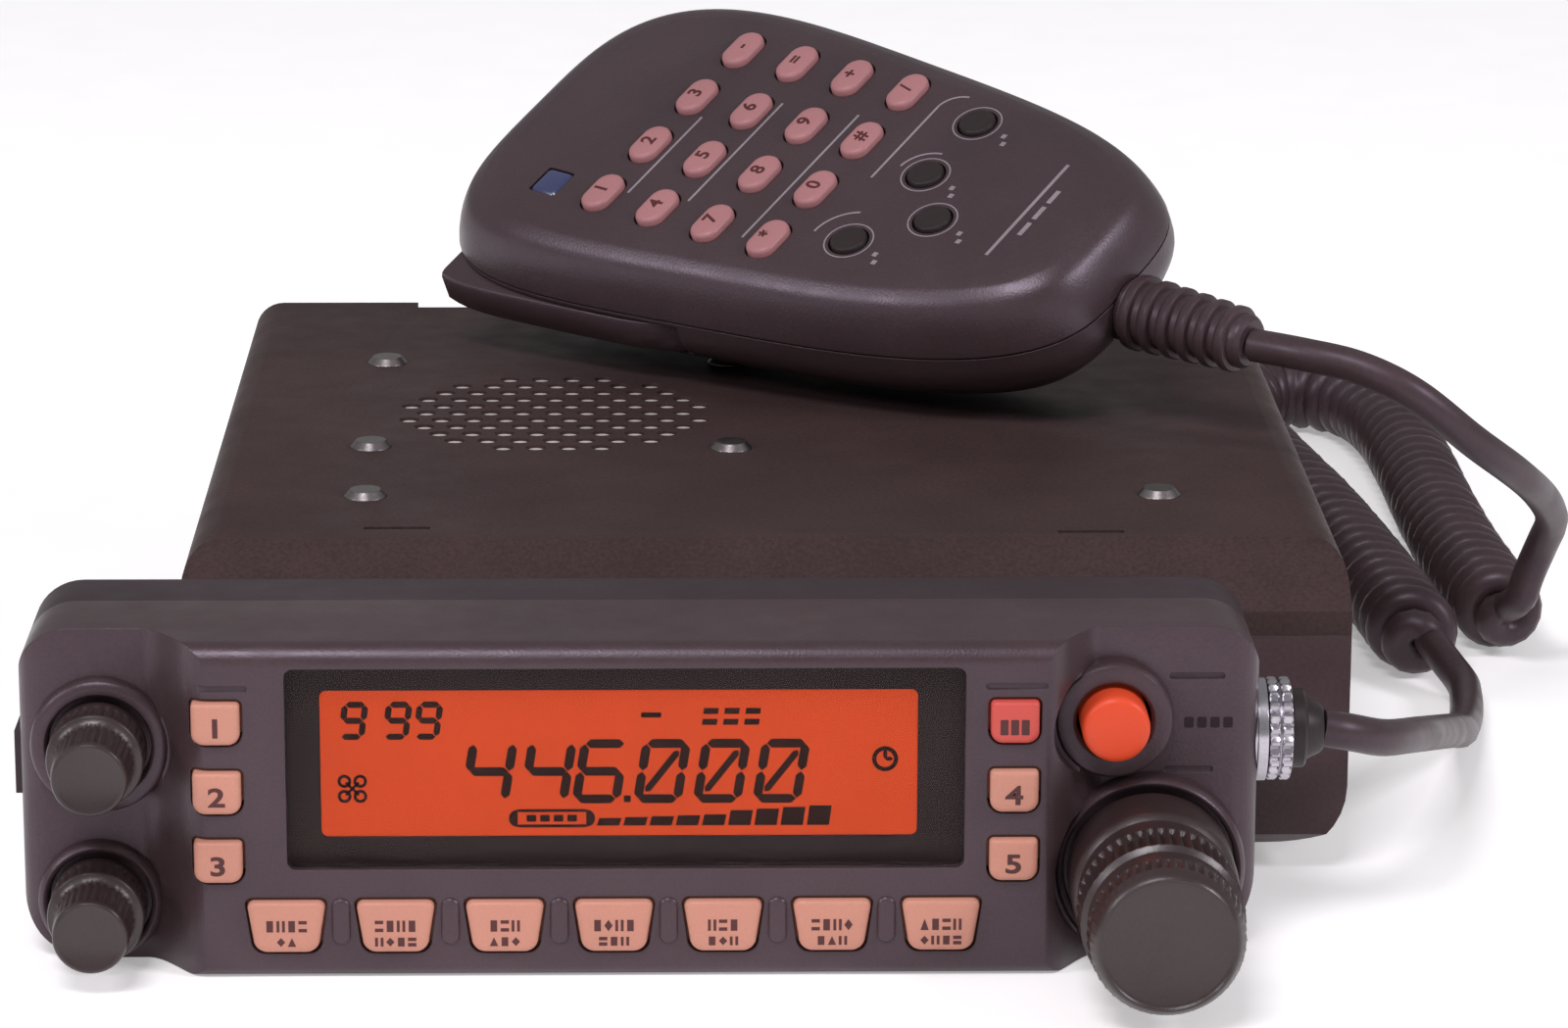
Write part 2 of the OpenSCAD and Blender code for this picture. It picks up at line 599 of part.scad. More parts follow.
module mic_socket() color([0.7, 0.7, 0.68]) difference() {
    union() {
        rod_x(socket_at[0], socket_at[1], 5.7, head_side_x - 8, head_side_x + 0.1);
        rod_x(socket_at[0], socket_at[1], 6.1, head_side_x + 0.01, head_side_x + 1.2);
    }
    rod_x(socket_at[0], socket_at[1], 3.6, head_side_x - 5, head_side_x + 2);
}

// ---- Microphone ----

module at_mic() translate(mic_at) rotate(mic_turn) children();

// Half the casing's width at x
function mic_half(x) = mic_width / 2 * (1.02 - 0.0040 * (x + 20));

// How square the outline's corners are: the one beside the transmit bar is the squarest,
// then the one across from it
function mic_power(towards_cord, right) = towards_cord && right ? 3.8 : towards_cord || right ? 3.2 : 4.2;

// The casing's outline at a depth: a long rounded shape that narrows towards the cord
function mic_ring(inset, depth, n = 48) = [
    for (i = [0:n - 1]) let (
        a = 360 * (i + 0.5) / n, c = cos(a), s = sin(a), p = mic_power(c > 0, s > 0),
        x = mic_middle_x + (mic_length / 2 - inset) * sign(c) * pow(abs(c), 2 / p)
    ) [x, (mic_half(x) - inset + (s > 0 ? mic_far_bulge : 0)) * sign(s) * pow(abs(s), 2 / p), -depth]
];

// A closed solid through rings of points, from its top down
module loft(rings) {
    n = len(rings[0]);
    polyhedron(
        points = [for (ring = rings, point = ring) point],
        faces = concat(
            [[for (i = [0:n - 1]) n - 1 - i], [for (i = [0:n - 1]) (len(rings) - 1) * n + i]],
            [for (k = [0:len(rings) - 2], i = [0:n - 1]) let (j = (i + 1) % n)
                each [[k * n + i, k * n + j, (k + 1) * n + j], [k * n + i, (k + 1) * n + j, (k + 1) * n + i]]]
        )
    );
}

module mic_casing(section) loft([for (s = section) mic_ring(s[1], s[0])]);

function mic_key_at(i) =
    [(floor(i / 4) - 1.5) * mic_row_pitch, (i % 4 - 1.5) * mic_column_pitch];

module mic_key_prism(i, grow, z0, z1) translate([mic_key_at(i)[0], mic_key_at(i)[1], z0])
    linear_extrude(z1 - z0) polygon(round_box(
        -mic_key_size[0] / 2 - grow, mic_key_size[0] / 2 + grow,
        -mic_key_size[1] / 2 - grow, mic_key_size[1] / 2 + grow,
        [for (k = [1:4]) mic_key_size[0] / 2 + grow - 0.05], 5));

module mic_front_shell() color([0.2, 0.17, 0.18]) at_mic() difference() {
    mic_casing(mic_front_section);
    mic_casing(mic_front_hollow);
    for (i = [0:15]) mic_key_prism(i, gap, -4, 1);
    for (at = program_keys_at) translate([at[0], at[1], -4]) cylinder(r = 2.5 + gap, h = 5);
    translate([-25.5, -19, -1]) cube([4.6, 5, 2]);
    rod_x(0, -mic_lead_depth, lead_r + 0.1, 50, 70);
}

// The transmit bar from above, grown by grow, from its outer side inwards
function bar_outline(grow, out, thickness, n = 10) =
    let (x0 = ptt_x[0] - grow, x1 = ptt_x[1] + grow)
    concat(
        [for (i = [0:n]) let (t = i / n, end = 1.6 * pow(abs(2 * t - 1), 5))
            [x0 + (x1 - x0) * t, ptt_y[0] + (ptt_y[1] - ptt_y[0]) * t - out + end]],
        [[x1, ptt_y[1] + thickness], [x0, ptt_y[0] + thickness]]
    );

module bar(grow, out, thickness) translate([0, 0, -ptt_depth[1] - grow])
    linear_extrude(ptt_depth[1] - ptt_depth[0] + 2 * grow) polygon(bar_outline(grow, out, thickness));

module ptt_bar() color([0.16, 0.14, 0.15]) at_mic() bar(0, 0, 10);

module mic_rear_shell() color([0.18, 0.15, 0.16]) at_mic() difference() {
    mic_casing(mic_rear_section);
    mic_casing(mic_rear_hollow);
    bar(gap, 6, 12);
    rod_x(0, -mic_lead_depth, lead_r + 0.1, 50, 70);
    translate([-8, 0, -mic_depth - 1]) cylinder(r = 1.6, h = 5);
}

module mic_strain_relief() color([0.13, 0.11, 0.12]) at_mic()
    translate([lead_x, 0, -mic_lead_depth]) rotate([0, 90, 0]) rotate_extrude() polygon(concat(
        [[0, 0], [lead_r, 0], [lead_r, 6]],
        [for (i = [0:5]) for (p = [[0, 0.4], [0, 1.5], [-0.8, 1.7], [-0.8, 2.7]])
            [5 - 0.13 * i + p[0], 6 + p[1] + 2.9 * i]],
        [[3.1, 24], [0, 24]]
    ));

module mic_hanger_stud() color([0.6, 0.6, 0.58]) at_mic() translate([-8, 0, -mic_depth]) {
    translate([0, 0, -2.6]) cylinder(r = 3, h = 2.6);
    translate([0, 0, -4.4]) cylinder(r1 = 4.4, r2 = 5, h = 1.9);
    cylinder(r = 1.5, h = 4);
}

module mic_key(i) color([0.8, 0.55, 0.6]) at_mic() {
    mic_key_prism(i, 0, -2.6, 1);
    mic_key_prism(i, 0.5, -3.4, -2.3);
    translate([mic_key_at(i)[0], mic_key_at(i)[1], -7]) cylinder(r = 1, h = 4);
}

module mic_program_keys() color([0.14, 0.12, 0.13]) at_mic() for (at = program_keys_at)
    translate(at) {
        translate([0, 0, -2.6]) cylinder(r = 2.5, h = 3.2);
        translate([0, 0, -3.4]) cylinder(r = 3.1, h = 1.1);
    }

// ---- Cord ----

function unit(v) = v / norm(v);

// A smooth curve through the route's points, with n steps from each to the next
function smooth(p, n) = concat([for (i = [0:len(p) - 2], k = [0:n - 1])
    let (
        t = k / n, a = p[max(i - 1, 0)], b = p[i], c = p[i + 1], d = p[min(i + 2, len(p) - 1)]
    ) b + 0.5 * t * ((c - a) + t * ((2 * a - 5 * b + 4 * c - d) + t * (3 * b - a - 3 * c + d)))],
    [p[len(p) - 1]]);

function direction(p, i) = unit(p[min(i + 1, len(p) - 1)] - p[max(i - 1, 0)]);

module tube(path, r, sides) loft([for (i = [0:len(path) - 1])
    let (along = direction(path, i), side = unit(cross([0, 0, 1], along)), up = cross(along, side))
    [for (k = [0:sides - 1]) let (a = -360 * (k + 0.5) / sides)
        path[i] + r * (cos(a) * side + sin(a) * up)]]);

module cord_mic_end() color([0.15, 0.12, 0.13]) tube(mic_lead_route, cord_d / 2, 8);
module cord_coil() color([0.15, 0.12, 0.13]) tube(smooth(coil_route, 2), coil_d / 2, 10);
module cord_plug_end() color([0.15, 0.12, 0.13]) tube(plug_lead_route, cord_d / 2, 8);

module plug_body() color([0.1, 0.1, 0.1]) {
    rod_x(socket_at[0], socket_at[1], 3.4, head_side_x - 4.5, head_side_x + 2);
    rod_x(socket_at[0], socket_at[1], 4.6, head_side_x + 1.3, head_side_x + 5.9);
    translate([head_side_x + 5.8, socket_at[0], socket_at[1]]) rotate([0, 90, 0])
        cylinder(r1 = 3.6, r2 = 2.6, h = 2.2);
}

module plug_ring() color([0.8, 0.8, 0.82]) difference() {
    rod_x(socket_at[0], socket_at[1], 6, head_side_x + 1.3, head_side_x + 5.4);
    rod_x(socket_at[0], socket_at[1], 4.7, head_side_x, head_side_x + 6);
}

chassis();
top_cover();
cover_screws();
main_board();
speaker();
fan_frame();
fan_rotor();
antenna_socket();
rear_jacks();
head_front_shell();
head_rear_shell();
head_board();
display_window();
display_panel();
main_dial();
volume_knob();
squelch_knob();
power_button();
release_latch();
mic_socket();
key_1();
key_2();
key_3();
key_select();
key_4();
key_5();
for (i = [0:6]) color([0.85, 0.55, 0.5]) function_key(i);
mic_front_shell();
mic_rear_shell();
mic_strain_relief();
mic_hanger_stud();
ptt_bar();
for (i = [0:15]) mic_key(i);
mic_program_keys();
cord_mic_end();
cord_coil();
cord_plug_end();
plug_body();
plug_ring();
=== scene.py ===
"""Looks of a mobile transceiver with a control head, a keypad hand microphone and its curly cord.

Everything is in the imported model's frame, in metres; sizes in the tables below are in millimetres.
"""
import math

import bmesh
import bpy
from mathutils import Euler, Matrix, Vector


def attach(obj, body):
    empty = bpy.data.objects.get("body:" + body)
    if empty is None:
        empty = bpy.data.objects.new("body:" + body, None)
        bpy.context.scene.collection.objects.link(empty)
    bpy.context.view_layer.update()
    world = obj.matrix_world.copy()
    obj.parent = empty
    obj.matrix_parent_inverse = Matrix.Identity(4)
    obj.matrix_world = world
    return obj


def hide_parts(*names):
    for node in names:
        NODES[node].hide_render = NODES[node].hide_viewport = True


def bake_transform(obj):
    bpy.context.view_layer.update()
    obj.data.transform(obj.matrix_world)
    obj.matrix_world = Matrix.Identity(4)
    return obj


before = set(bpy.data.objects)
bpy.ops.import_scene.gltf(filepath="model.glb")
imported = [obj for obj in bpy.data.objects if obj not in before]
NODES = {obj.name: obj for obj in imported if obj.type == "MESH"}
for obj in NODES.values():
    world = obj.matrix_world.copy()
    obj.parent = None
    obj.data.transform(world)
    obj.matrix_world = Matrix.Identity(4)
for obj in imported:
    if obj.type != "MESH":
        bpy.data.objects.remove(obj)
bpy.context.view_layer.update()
MM = 0.001
TAU = 2 * math.pi
COOL_WHITE = (0.97, 0.93, 1.0)
KEY_GAP = 0.3  # round a key, in the shell it goes through

# ---- Camera, floor and light ----

scene = bpy.context.scene


def set_camera():
    place = Vector((-12.22, -718.55, 222.02)) * MM
    pitch, yaw, roll = (math.radians(a) for a in (15.18, 1.25, 0.2))
    camera = bpy.data.objects.new("camera", bpy.data.cameras.new("camera"))
    camera.data.sensor_width = 36
    camera.data.lens = 130.64
    camera.data.clip_start = 0.02
    camera.data.clip_end = 30
    camera.matrix_world = (
        Matrix.Translation(place)
        @ Matrix.Rotation(-yaw, 4, "Z")
        @ Matrix.Rotation(math.pi / 2 - pitch, 4, "X")
        @ Matrix.Rotation(roll, 4, "Z")
    )
    scene.collection.objects.link(camera)
    scene.camera = camera


def area_light(name, place, target, width, height, power, colour):
    light = bpy.data.lights.new(name, "AREA")
    light.shape = "RECTANGLE"
    light.size, light.size_y = width, height
    light.energy = power
    light.color = colour
    obj = bpy.data.objects.new(name, light)
    obj.location = place
    direction = Vector(target) - Vector(place)
    obj.rotation_euler = direction.to_track_quat("-Z", "Y").to_euler()
    scene.collection.objects.link(obj)


def linear(r, g, b):
    """A colour given as display values from 0 to 255."""
    out = []
    for v in (r, g, b):
        v /= 255
        out.append(v / 12.92 if v <= 0.04045 else ((v + 0.055) / 1.055) ** 2.4)
    return (*out, 1)


def set_world():
    world = bpy.data.worlds.new("studio")
    scene.world = world
    world.use_nodes = True
    back = world.node_tree.nodes["Background"]
    back.inputs["Color"].default_value = (1.0, 1.0, 1.0, 1)
    back.inputs["Strength"].default_value = 0.32
    scene.view_settings.view_transform = "Standard"
    area_light("key", (-0.25, -0.75, 1.1), (0, -0.02, 0.04), 0.5, 0.35, 9, (1.0, 0.96, 1.0))
    area_light("left", (-1.5, -0.75, 0.95), (-0.05, 0, 0.03), 0.4, 0.4, 10, COOL_WHITE)
    area_light("right", (1.4, -0.75, 1.0), (0.03, 0, 0.04), 0.4, 0.4, 13, COOL_WHITE)


# ---- Materials ----

BROAD_MM, GLOSS_MM = 16, 5  # sizes of the patches in which colour and gloss vary
GRAIN_DEPTH = 0.08
MIX_A, MIX_B, MIX_RESULT = 6, 7, 2  # a mix node's colour sockets, which share their names with others


def surface(
    name,
    colour,
    rough,
    metallic=0.0,
    specular=0.5,
    grain_mm=0.35,
    grain=0.25,
    vary=0.12,
    speckle=0.1,
    round_mm=0.2,
    glow=0.0,
    coat=0.0,
    gloss=(1, 1, 1),
):
    """A moulded, painted or metal surface: fine grain, colour and gloss that vary a little, softened edges.

    vary is how much the colour changes over BROAD_MM, speckle how much from grain to grain.
    """
    material = bpy.data.materials.new(name)
    material.use_nodes = True
    tree = material.node_tree
    node, link = tree.nodes.new, tree.links.new
    shader = tree.nodes["Principled BSDF"]
    shader.inputs["Metallic"].default_value = metallic
    shader.inputs["Specular IOR Level"].default_value = specular
    shader.inputs["Specular Tint"].default_value = (*gloss, 1)
    shader.inputs["Coat Weight"].default_value = coat
    shader.inputs["Coat Roughness"].default_value = 0.15
    spot = node("ShaderNodeTexCoord").outputs["Object"]

    def noise(size_mm, detail):
        n = node("ShaderNodeTexNoise")
        n.inputs["Scale"].default_value = 1000 / size_mm
        n.inputs["Detail"].default_value = detail
        link(spot, n.inputs["Vector"])
        return n.outputs["Fac"]

    def spread(value, low, high):
        m = node("ShaderNodeMapRange")
        m.inputs["From Min"].default_value = 0.3
        m.inputs["From Max"].default_value = 0.7
        m.inputs["To Min"].default_value = low
        m.inputs["To Max"].default_value = high
        link(value, m.inputs["Value"])
        return m.outputs["Result"]

    def mix(kind):
        m = node("ShaderNodeMix")
        m.data_type = "RGBA"
        m.blend_type = kind
        return m

    fine = noise(grain_mm, 2)
    base = mix("MIX")
    link(spread(noise(BROAD_MM, 3), 0, 1), base.inputs["Factor"])
    for socket, share in ((MIX_A, 1 - vary), (MIX_B, 1 + vary)):
        base.inputs[socket].default_value = (*[c * share for c in colour[:3]], 1)
    speckled = mix("MULTIPLY")
    speckled.inputs["Factor"].default_value = 1
    shade = node("ShaderNodeCombineColor")
    for channel in ("Red", "Green", "Blue"):
        link(spread(fine, 1 - speckle, 1 + speckle), shade.inputs[channel])
    link(base.outputs[MIX_RESULT], speckled.inputs[MIX_A])
    link(shade.outputs["Color"], speckled.inputs[MIX_B])
    tint = speckled.outputs[MIX_RESULT]
    link(tint, shader.inputs["Base Color"])
    link(spread(noise(GLOSS_MM, 2), rough - 0.05, rough + 0.05), shader.inputs["Roughness"])
    bump = node("ShaderNodeBump")
    bump.inputs["Strength"].default_value = grain
    bump.inputs["Distance"].default_value = GRAIN_DEPTH * MM
    link(fine, bump.inputs["Height"])
    if round_mm:
        bevel = node("ShaderNodeBevel")
        bevel.samples = 4
        bevel.inputs["Radius"].default_value = round_mm * MM
        link(bevel.outputs["Normal"], bump.inputs["Normal"])
    link(bump.outputs["Normal"], shader.inputs["Normal"])
    if glow:
        link(tint, shader.inputs["Emission Color"])
        shader.inputs["Emission Strength"].default_value = glow
    return material


def clear_window(name):
    material = bpy.data.materials.new(name)
    material.use_nodes = True
    shader = material.node_tree.nodes["Principled BSDF"]
    shader.inputs["Base Color"].default_value = (1, 1, 1, 1)
    shader.inputs["Transmission Weight"].default_value = 1
    shader.inputs["Roughness"].default_value = 0.03
    shader.inputs["IOR"].default_value = 1.12
    return material


LILAC = (0.95, 0.84, 1.0)
MOULDED = {"grain_mm": 0.32, "grain": 0.35, "speckle": 0.12, "gloss": LILAC}
LIT = {"specular": 0.3, "grain": 0.06, "vary": 0.05, "speckle": 0.03}
FLAT = {"grain": 0.05, "round_mm": 0}
# Display colour, roughness and the rest of each surface
SURFACES = {
    "chassis_paint": ((68, 53, 55), 0.5, {"specular": 0.15, "grain_mm": 0.5, "grain": 0.35}),
    "cover_paint": ((60, 46, 46), 0.52, {"specular": 0.12, "grain_mm": 0.5, "grain": 0.4, "speckle": 0.16}),
    "head_plastic": ((60, 46, 48), 0.36, {"specular": 0.5, **MOULDED}),
    "rear_plastic": ((56, 46, 50), 0.5, {"specular": 0.2}),
    "black_plastic": ((40, 32, 33), 0.45, {"specular": 0.3}),
    "knob_plastic": ((48, 36, 36), 0.34, {"specular": 0.5, "grain": 0.2}),
    "lit_key": ((184, 128, 110), 0.4, {**LIT, "glow": 0.06}),
    "red_key": ((188, 76, 68), 0.4, {**LIT, "speckle": 0.02, "glow": 0.08}),
    "power_key": ((208, 70, 38), 0.38, {**LIT, "vary": 0.04, "speckle": 0.02, "glow": 0.08}),
    "display_lit": (
        (170, 58, 24), 0.6, {"specular": 0.1, "grain": 0, "vary": 0.03, "speckle": 0, "glow": 0.6}
    ),
    "board": ((20, 70, 40), 0.4, {"grain_mm": 1.5}),
    "steel": ((130, 124, 124), 0.35, {"metallic": 1, "grain": 0.1}),
    "nickel": ((190, 186, 194), 0.22, {"metallic": 1, "grain": 0.08, "speckle": 0.05}),
    "speaker_black": ((60, 54, 54), 0.8, {"grain_mm": 0.4, "grain": 0.6}),
    "grille_cloth": ((176, 168, 166), 0.8, {"grain_mm": 0.4, "grain": 0.6, "round_mm": 0}),
    "mic_plastic": ((58, 45, 47), 0.36, {"specular": 0.55, **MOULDED}),
    "mic_key_plastic": ((156, 108, 110), 0.42, {**LIT, "glow": 0.04}),
    "cord_rubber": (
        (60, 47, 49), 0.4, {"specular": 0.35, "grain_mm": 0.6, "grain": 0.12, "round_mm": 0, "gloss": LILAC}
    ),
    "legend": ((72, 26, 26), 0.5, FLAT),
    "ink": ((44, 20, 16), 0.6, {"specular": 0.1, "grain": 0, "round_mm": 0}),
    "print": ((132, 122, 128), 0.5, FLAT),
    "shadow_print": ((46, 36, 40), 0.6, {"specular": 0.1, **FLAT}),
    "lamp": ((46, 52, 88), 0.25, {"grain": 0.05, "speckle": 0.02, "glow": 0.1, "coat": 0.5}),
    "socket_black": ((48, 36, 36), 0.5, {"specular": 0.1, "grain": 0.1}),
}  # fmt: skip
MAT = {name: surface(name, linear(*shown), rough, **rest) for name, (shown, rough, rest) in SURFACES.items()}
MAT["display_glass"] = clear_window("display_glass")

# ---- Mesh helpers ----


def finish_mesh(name, mesh, body, slot, material=None, replaces=(), sharp=32):
    """Make a piece of a mesh: smooth but for its sharp edges, riding on a body."""
    obj = bpy.data.objects.new(name, mesh)
    scene.collection.objects.link(obj)
    mesh.materials.clear()
    mesh.materials.append(MAT[material or slot])
    mesh.polygons.foreach_set("material_index", [0] * len(mesh.polygons))
    mesh.shade_smooth()
    mesh.set_sharp_from_angle(angle=math.radians(sharp))
    if body:
        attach(obj, body)
    if replaces:
        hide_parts(*replaces)
    return obj


def mesh_of(name, points, faces, place=None):
    mesh = bpy.data.meshes.new(name)
    mesh.from_pydata([Vector(p) * MM for p in points], [], faces)
    if place is not None:
        mesh.transform(place)
    bm = bmesh.new()
    bm.from_mesh(mesh)
    bmesh.ops.recalc_face_normals(bm, faces=bm.faces)
    bm.to_mesh(mesh)
    bm.free()
    return mesh


def loft(name, rings, place=None, closed=False):
    """A closed solid through rings of points; closed joins the last ring to the first instead of capping."""
    n = len(rings[0])
    points = [p for ring in rings for p in ring]
    faces = []
    if not closed:
        faces = [tuple(range(n - 1, -1, -1)), tuple(range((len(rings) - 1) * n, len(rings) * n))]
    for k in range(len(rings) if closed else len(rings) - 1):
        a, b = k * n, (k + 1) % len(rings) * n
        faces += [(a + i, a + (i + 1) % n, b + (i + 1) % n, b + i) for i in range(n)]
    return mesh_of(name, points, faces, place)


def lathe(name, profile, place, flutes=0, steps=96, closed=False):
    """A turned solid: profile is (radius, height, flute depth), front to back; closed makes a ring."""
    count = flutes * 6 if flutes else steps
    rings = []
    for radius, height, *depth in profile:
        dip = depth[0] if depth else 0
        ring = []
        for i in range(count):
            a = TAU * i / count
            wave = 0.5 - 0.5 * math.cos(flutes * a)
            r = max(radius - dip * wave, 0.001)
            ring.append((r * math.cos(a), r * math.sin(a), height))
        rings.append(ring)
    return loft(name, rings, place, closed)


def arc(cx, cy, r, a0, a1, n):
    out = []
    for i in range(n + 1):
        a = math.radians(a0 + (a1 - a0) * i / n)
        out.append((cx + r * math.cos(a), cy + r * math.sin(a)))
    return out


def round_box(x0, x1, z0, z1, radii, n=8):
    """Upright box with rounded corners: radii are top left, top right, bottom right, bottom left."""
    tl, tr, br, bl = radii
    return (
        arc(x1 - tr, z1 - tr, tr, 0, 90, n)
        + arc(x0 + tl, z1 - tl, tl, 90, 180, n)
        + arc(x0 + bl, z0 + bl, bl, 180, 270, n)
        + arc(x1 - br, z0 + br, br, 270, 360, n)
    )


def shrink(outline, inset):
    """An outline with each side moved in, about its middle."""
    xs, zs = [p[0] for p in outline], [p[1] for p in outline]
    cx, cz = (min(xs) + max(xs)) / 2, (min(zs) + max(zs)) / 2
    sx = 1 - 2 * inset / (max(xs) - min(xs))
    sz = 1 - 2 * inset / (max(zs) - min(zs))
    return [(cx + (x - cx) * sx, cz + (z - cz) * sz) for x, z in outline]


def prism(name, outline, axis, low, high, place=None):
    """A prism of an outline along X, Y or Z."""

    def at(p, h):
        return {"X": (h, p[0], p[1]), "Y": (p[0], h, p[1]), "Z": (p[0], p[1], h)}[axis]

    return loft(name, [[at(p, low) for p in outline], [at(p, high) for p in outline]], place)


def joined(name, meshes):
    bm = bmesh.new()
    for mesh in meshes:
        bm.from_mesh(mesh)
    out = bpy.data.meshes.new(name)
    bm.to_mesh(out)
    bm.free()
    return out


def combined(mesh, steps):
    """The mesh after booleans: steps are (operation, mesh)."""
    obj = bpy.data.objects.new("work", mesh)
    scene.collection.objects.link(obj)
    tools = []
    for operation, other in steps:
        tool = bpy.data.objects.new("tool", other)
        scene.collection.objects.link(tool)
        tool.hide_render = True
        tools.append(tool)
        modifier = obj.modifiers.new("cut", "BOOLEAN")
        modifier.operation = operation
        modifier.object = tool
        modifier.solver = "EXACT"
        modifier.use_self = False
    graph = bpy.context.evaluated_depsgraph_get()
    out = bpy.data.meshes.new_from_object(obj.evaluated_get(graph))
    for o in tools + [obj]:
        bpy.data.objects.remove(o)
    return out


def bevelled(mesh, width, angle, segments, where):
    """Round in place the edges sharper than an angle for whose middle, in mm, where() is true."""
    bm = bmesh.new()
    bm.from_mesh(mesh)
    bmesh.ops.remove_doubles(bm, verts=bm.verts, dist=1e-7)
    bmesh.ops.dissolve_limit(bm, angle_limit=math.radians(0.5), verts=bm.verts, edges=bm.edges)
    edges = [
        e
        for e in bm.edges
        if len(e.link_faces) == 2
        and e.calc_face_angle(0) > math.radians(angle)
        and where((e.verts[0].co + e.verts[1].co) / 2 / MM)
    ]
    bmesh.ops.bevel(
        bm, geom=edges, offset=width * MM, segments=segments, profile=0.5, affect="EDGES", clamp_overlap=True
    )
    bm.to_mesh(mesh)
    bm.free()
    return mesh


def smooth_copy(node, body, slot):
    """A CAD node's own shape with its vertices merged, so that its round faces shade as round."""
    mesh = NODES[node].data.copy()
    bm = bmesh.new()
    bm.from_mesh(mesh)
    bmesh.ops.remove_doubles(bm, verts=bm.verts, dist=2e-6)
    bmesh.ops.dissolve_limit(bm, angle_limit=math.radians(0.6), verts=bm.verts, edges=bm.edges)
    bm.to_mesh(mesh)
    bm.free()
    finish_mesh(node + "_skin", mesh, body, slot, replaces=[node])


def towards_y(x, y, z):
    """Local Z becomes +Y, from a point on the front."""
    return Matrix.Translation(Vector((x, y, z)) * MM) @ Matrix.Rotation(-math.pi / 2, 4, "X")


def towards_x(x, y, z):
    return Matrix.Translation(Vector((x, y, z)) * MM) @ Matrix.Rotation(math.pi / 2, 4, "Y")


def text_mesh(text, size, place, wide=1.0):
    """A digit or a generic sign as a thin solid, centred, in the plane of place's X and Y."""
    thick, bold = 0.03, 0.025
    curve = bpy.data.curves.new("mark", "FONT")
    curve.body = text
    curve.size = size * MM
    curve.extrude = thick * MM
    curve.offset = bold * size * MM
    curve.align_x = "CENTER"
    curve.align_y = "CENTER"
    obj = bpy.data.objects.new("mark", curve)
    scene.collection.objects.link(obj)
    graph = bpy.context.evaluated_depsgraph_get()
    mesh = bpy.data.meshes.new_from_object(obj.evaluated_get(graph))
    mesh.transform(place @ Matrix.Diagonal((wide, 1, 1, 1)))
    bpy.data.objects.remove(obj)
    return mesh


def catmull(points, steps):
    out = []
    for i in range(len(points) - 1):
        a, b = Vector(points[max(i - 1, 0)]), Vector(points[i])
        c, d = Vector(points[i + 1]), Vector(points[min(i + 2, len(points) - 1)])
        for k in range(steps):
            t = k / steps
            bend = (2 * a - 5 * b + 4 * c - d) + t * (3 * b - a - 3 * c + d)
            out.append(b + 0.5 * t * ((c - a) + t * bend))
    return out + [Vector(points[-1])]


def path_length(points):
    return sum((b - a).length for a, b in zip(points, points[1:]))


def even(points, step):
    """The same path with points that far apart."""
    total = path_length(points)
    count = max(2, round(total / step))
    out, i, run = [], 0, 0.0
    for k in range(count + 1):
        want = total * k / count
        while i < len(points) - 2 and run + (points[i + 1] - points[i]).length < want:
            run += (points[i + 1] - points[i]).length
            i += 1
        span = (points[i + 1] - points[i]).length
        out.append(points[i].lerp(points[i + 1], min(1, (want - run) / span)))
    return out


def frames(points):
    """Direction and two crossways vectors at each point, without twist."""
    out, side = [], None
    for i in range(len(points)):
        along = (points[min(i + 1, len(points) - 1)] - points[max(i - 1, 0)]).normalized()
        if side is None:
            side = along.cross(Vector((0, 0, 1))).normalized()
        side = (side - along * side.dot(along)).normalized()
        out.append((along, side, along.cross(side)))
    return out


def tube(name, points, radius, sides):
    angles = [TAU * k / sides for k in range(sides)]
    rings = []
    for p, (_, side, up) in zip(points, frames(points)):
        rings.append([p + radius * (math.cos(a) * side + math.sin(a) * up) for a in angles])
    return loft(name, rings)


# ---- Cord ----

CORD_D = 4.4
COIL_D = 12.2
COIL_PITCH = 4.5
COIL_STEP = 0.35  # between points along the coil's middle line
COIL_END = 0.35  # share of the coil's radius at which its first and last turns close
LEAD_STEP, PATH_STEP = 2.2, 1.15  # between points of the two leads, and of the whole cord
MIC_LEAD = [
    (63.4, -11.2, 52.3), (69, -15.6, 52.2), (76, -19, 51.2), (83, -20.6, 48), (91, -18, 41.3),
    (98, -10.5, 35), (103, 0, 29), (105.8, 9.4, 23.5), (105.6, 15.2, 18.6), (104.4, 17.4, 14),
    (103.4, 18, 10.2),
]  # fmt: skip
COIL = [
    (102.4, 19.5, 6.2), (101.4, 34, 6.2), (100.3, 54, 6.2), (99.9, 78, 6.2), (100, 104, 6.2),
    (99.2, 126, 6.2), (96, 142.5, 6.2), (88.6, 150.5, 6.2), (80.4, 147.5, 6.2), (76.8, 136, 6.2),
    (77, 118, 6.2), (79.6, 98, 6.2), (82.6, 78, 6.2), (84.9, 58, 6.2), (87, 36, 6.2), (89.2, 10, 6.2),
]  # fmt: skip
PLUG_LEAD = [
    (92.2, 6.4, 4.4), (93.6, 2.4, 3), (93.4, -3, 2.8), (92.2, -12, 3), (89.8, -25, 5), (86.6, -40, 9.6),
    (81.8, -58, 15), (77, -73, 19.4), (72, -83, 22.2), (67.6, -87.2, 24.2), (64.2, -88, 25),
]  # fmt: skip


def ease(t):
    t = min(max(t, 0), 1)
    return t * t * (3 - 2 * t)


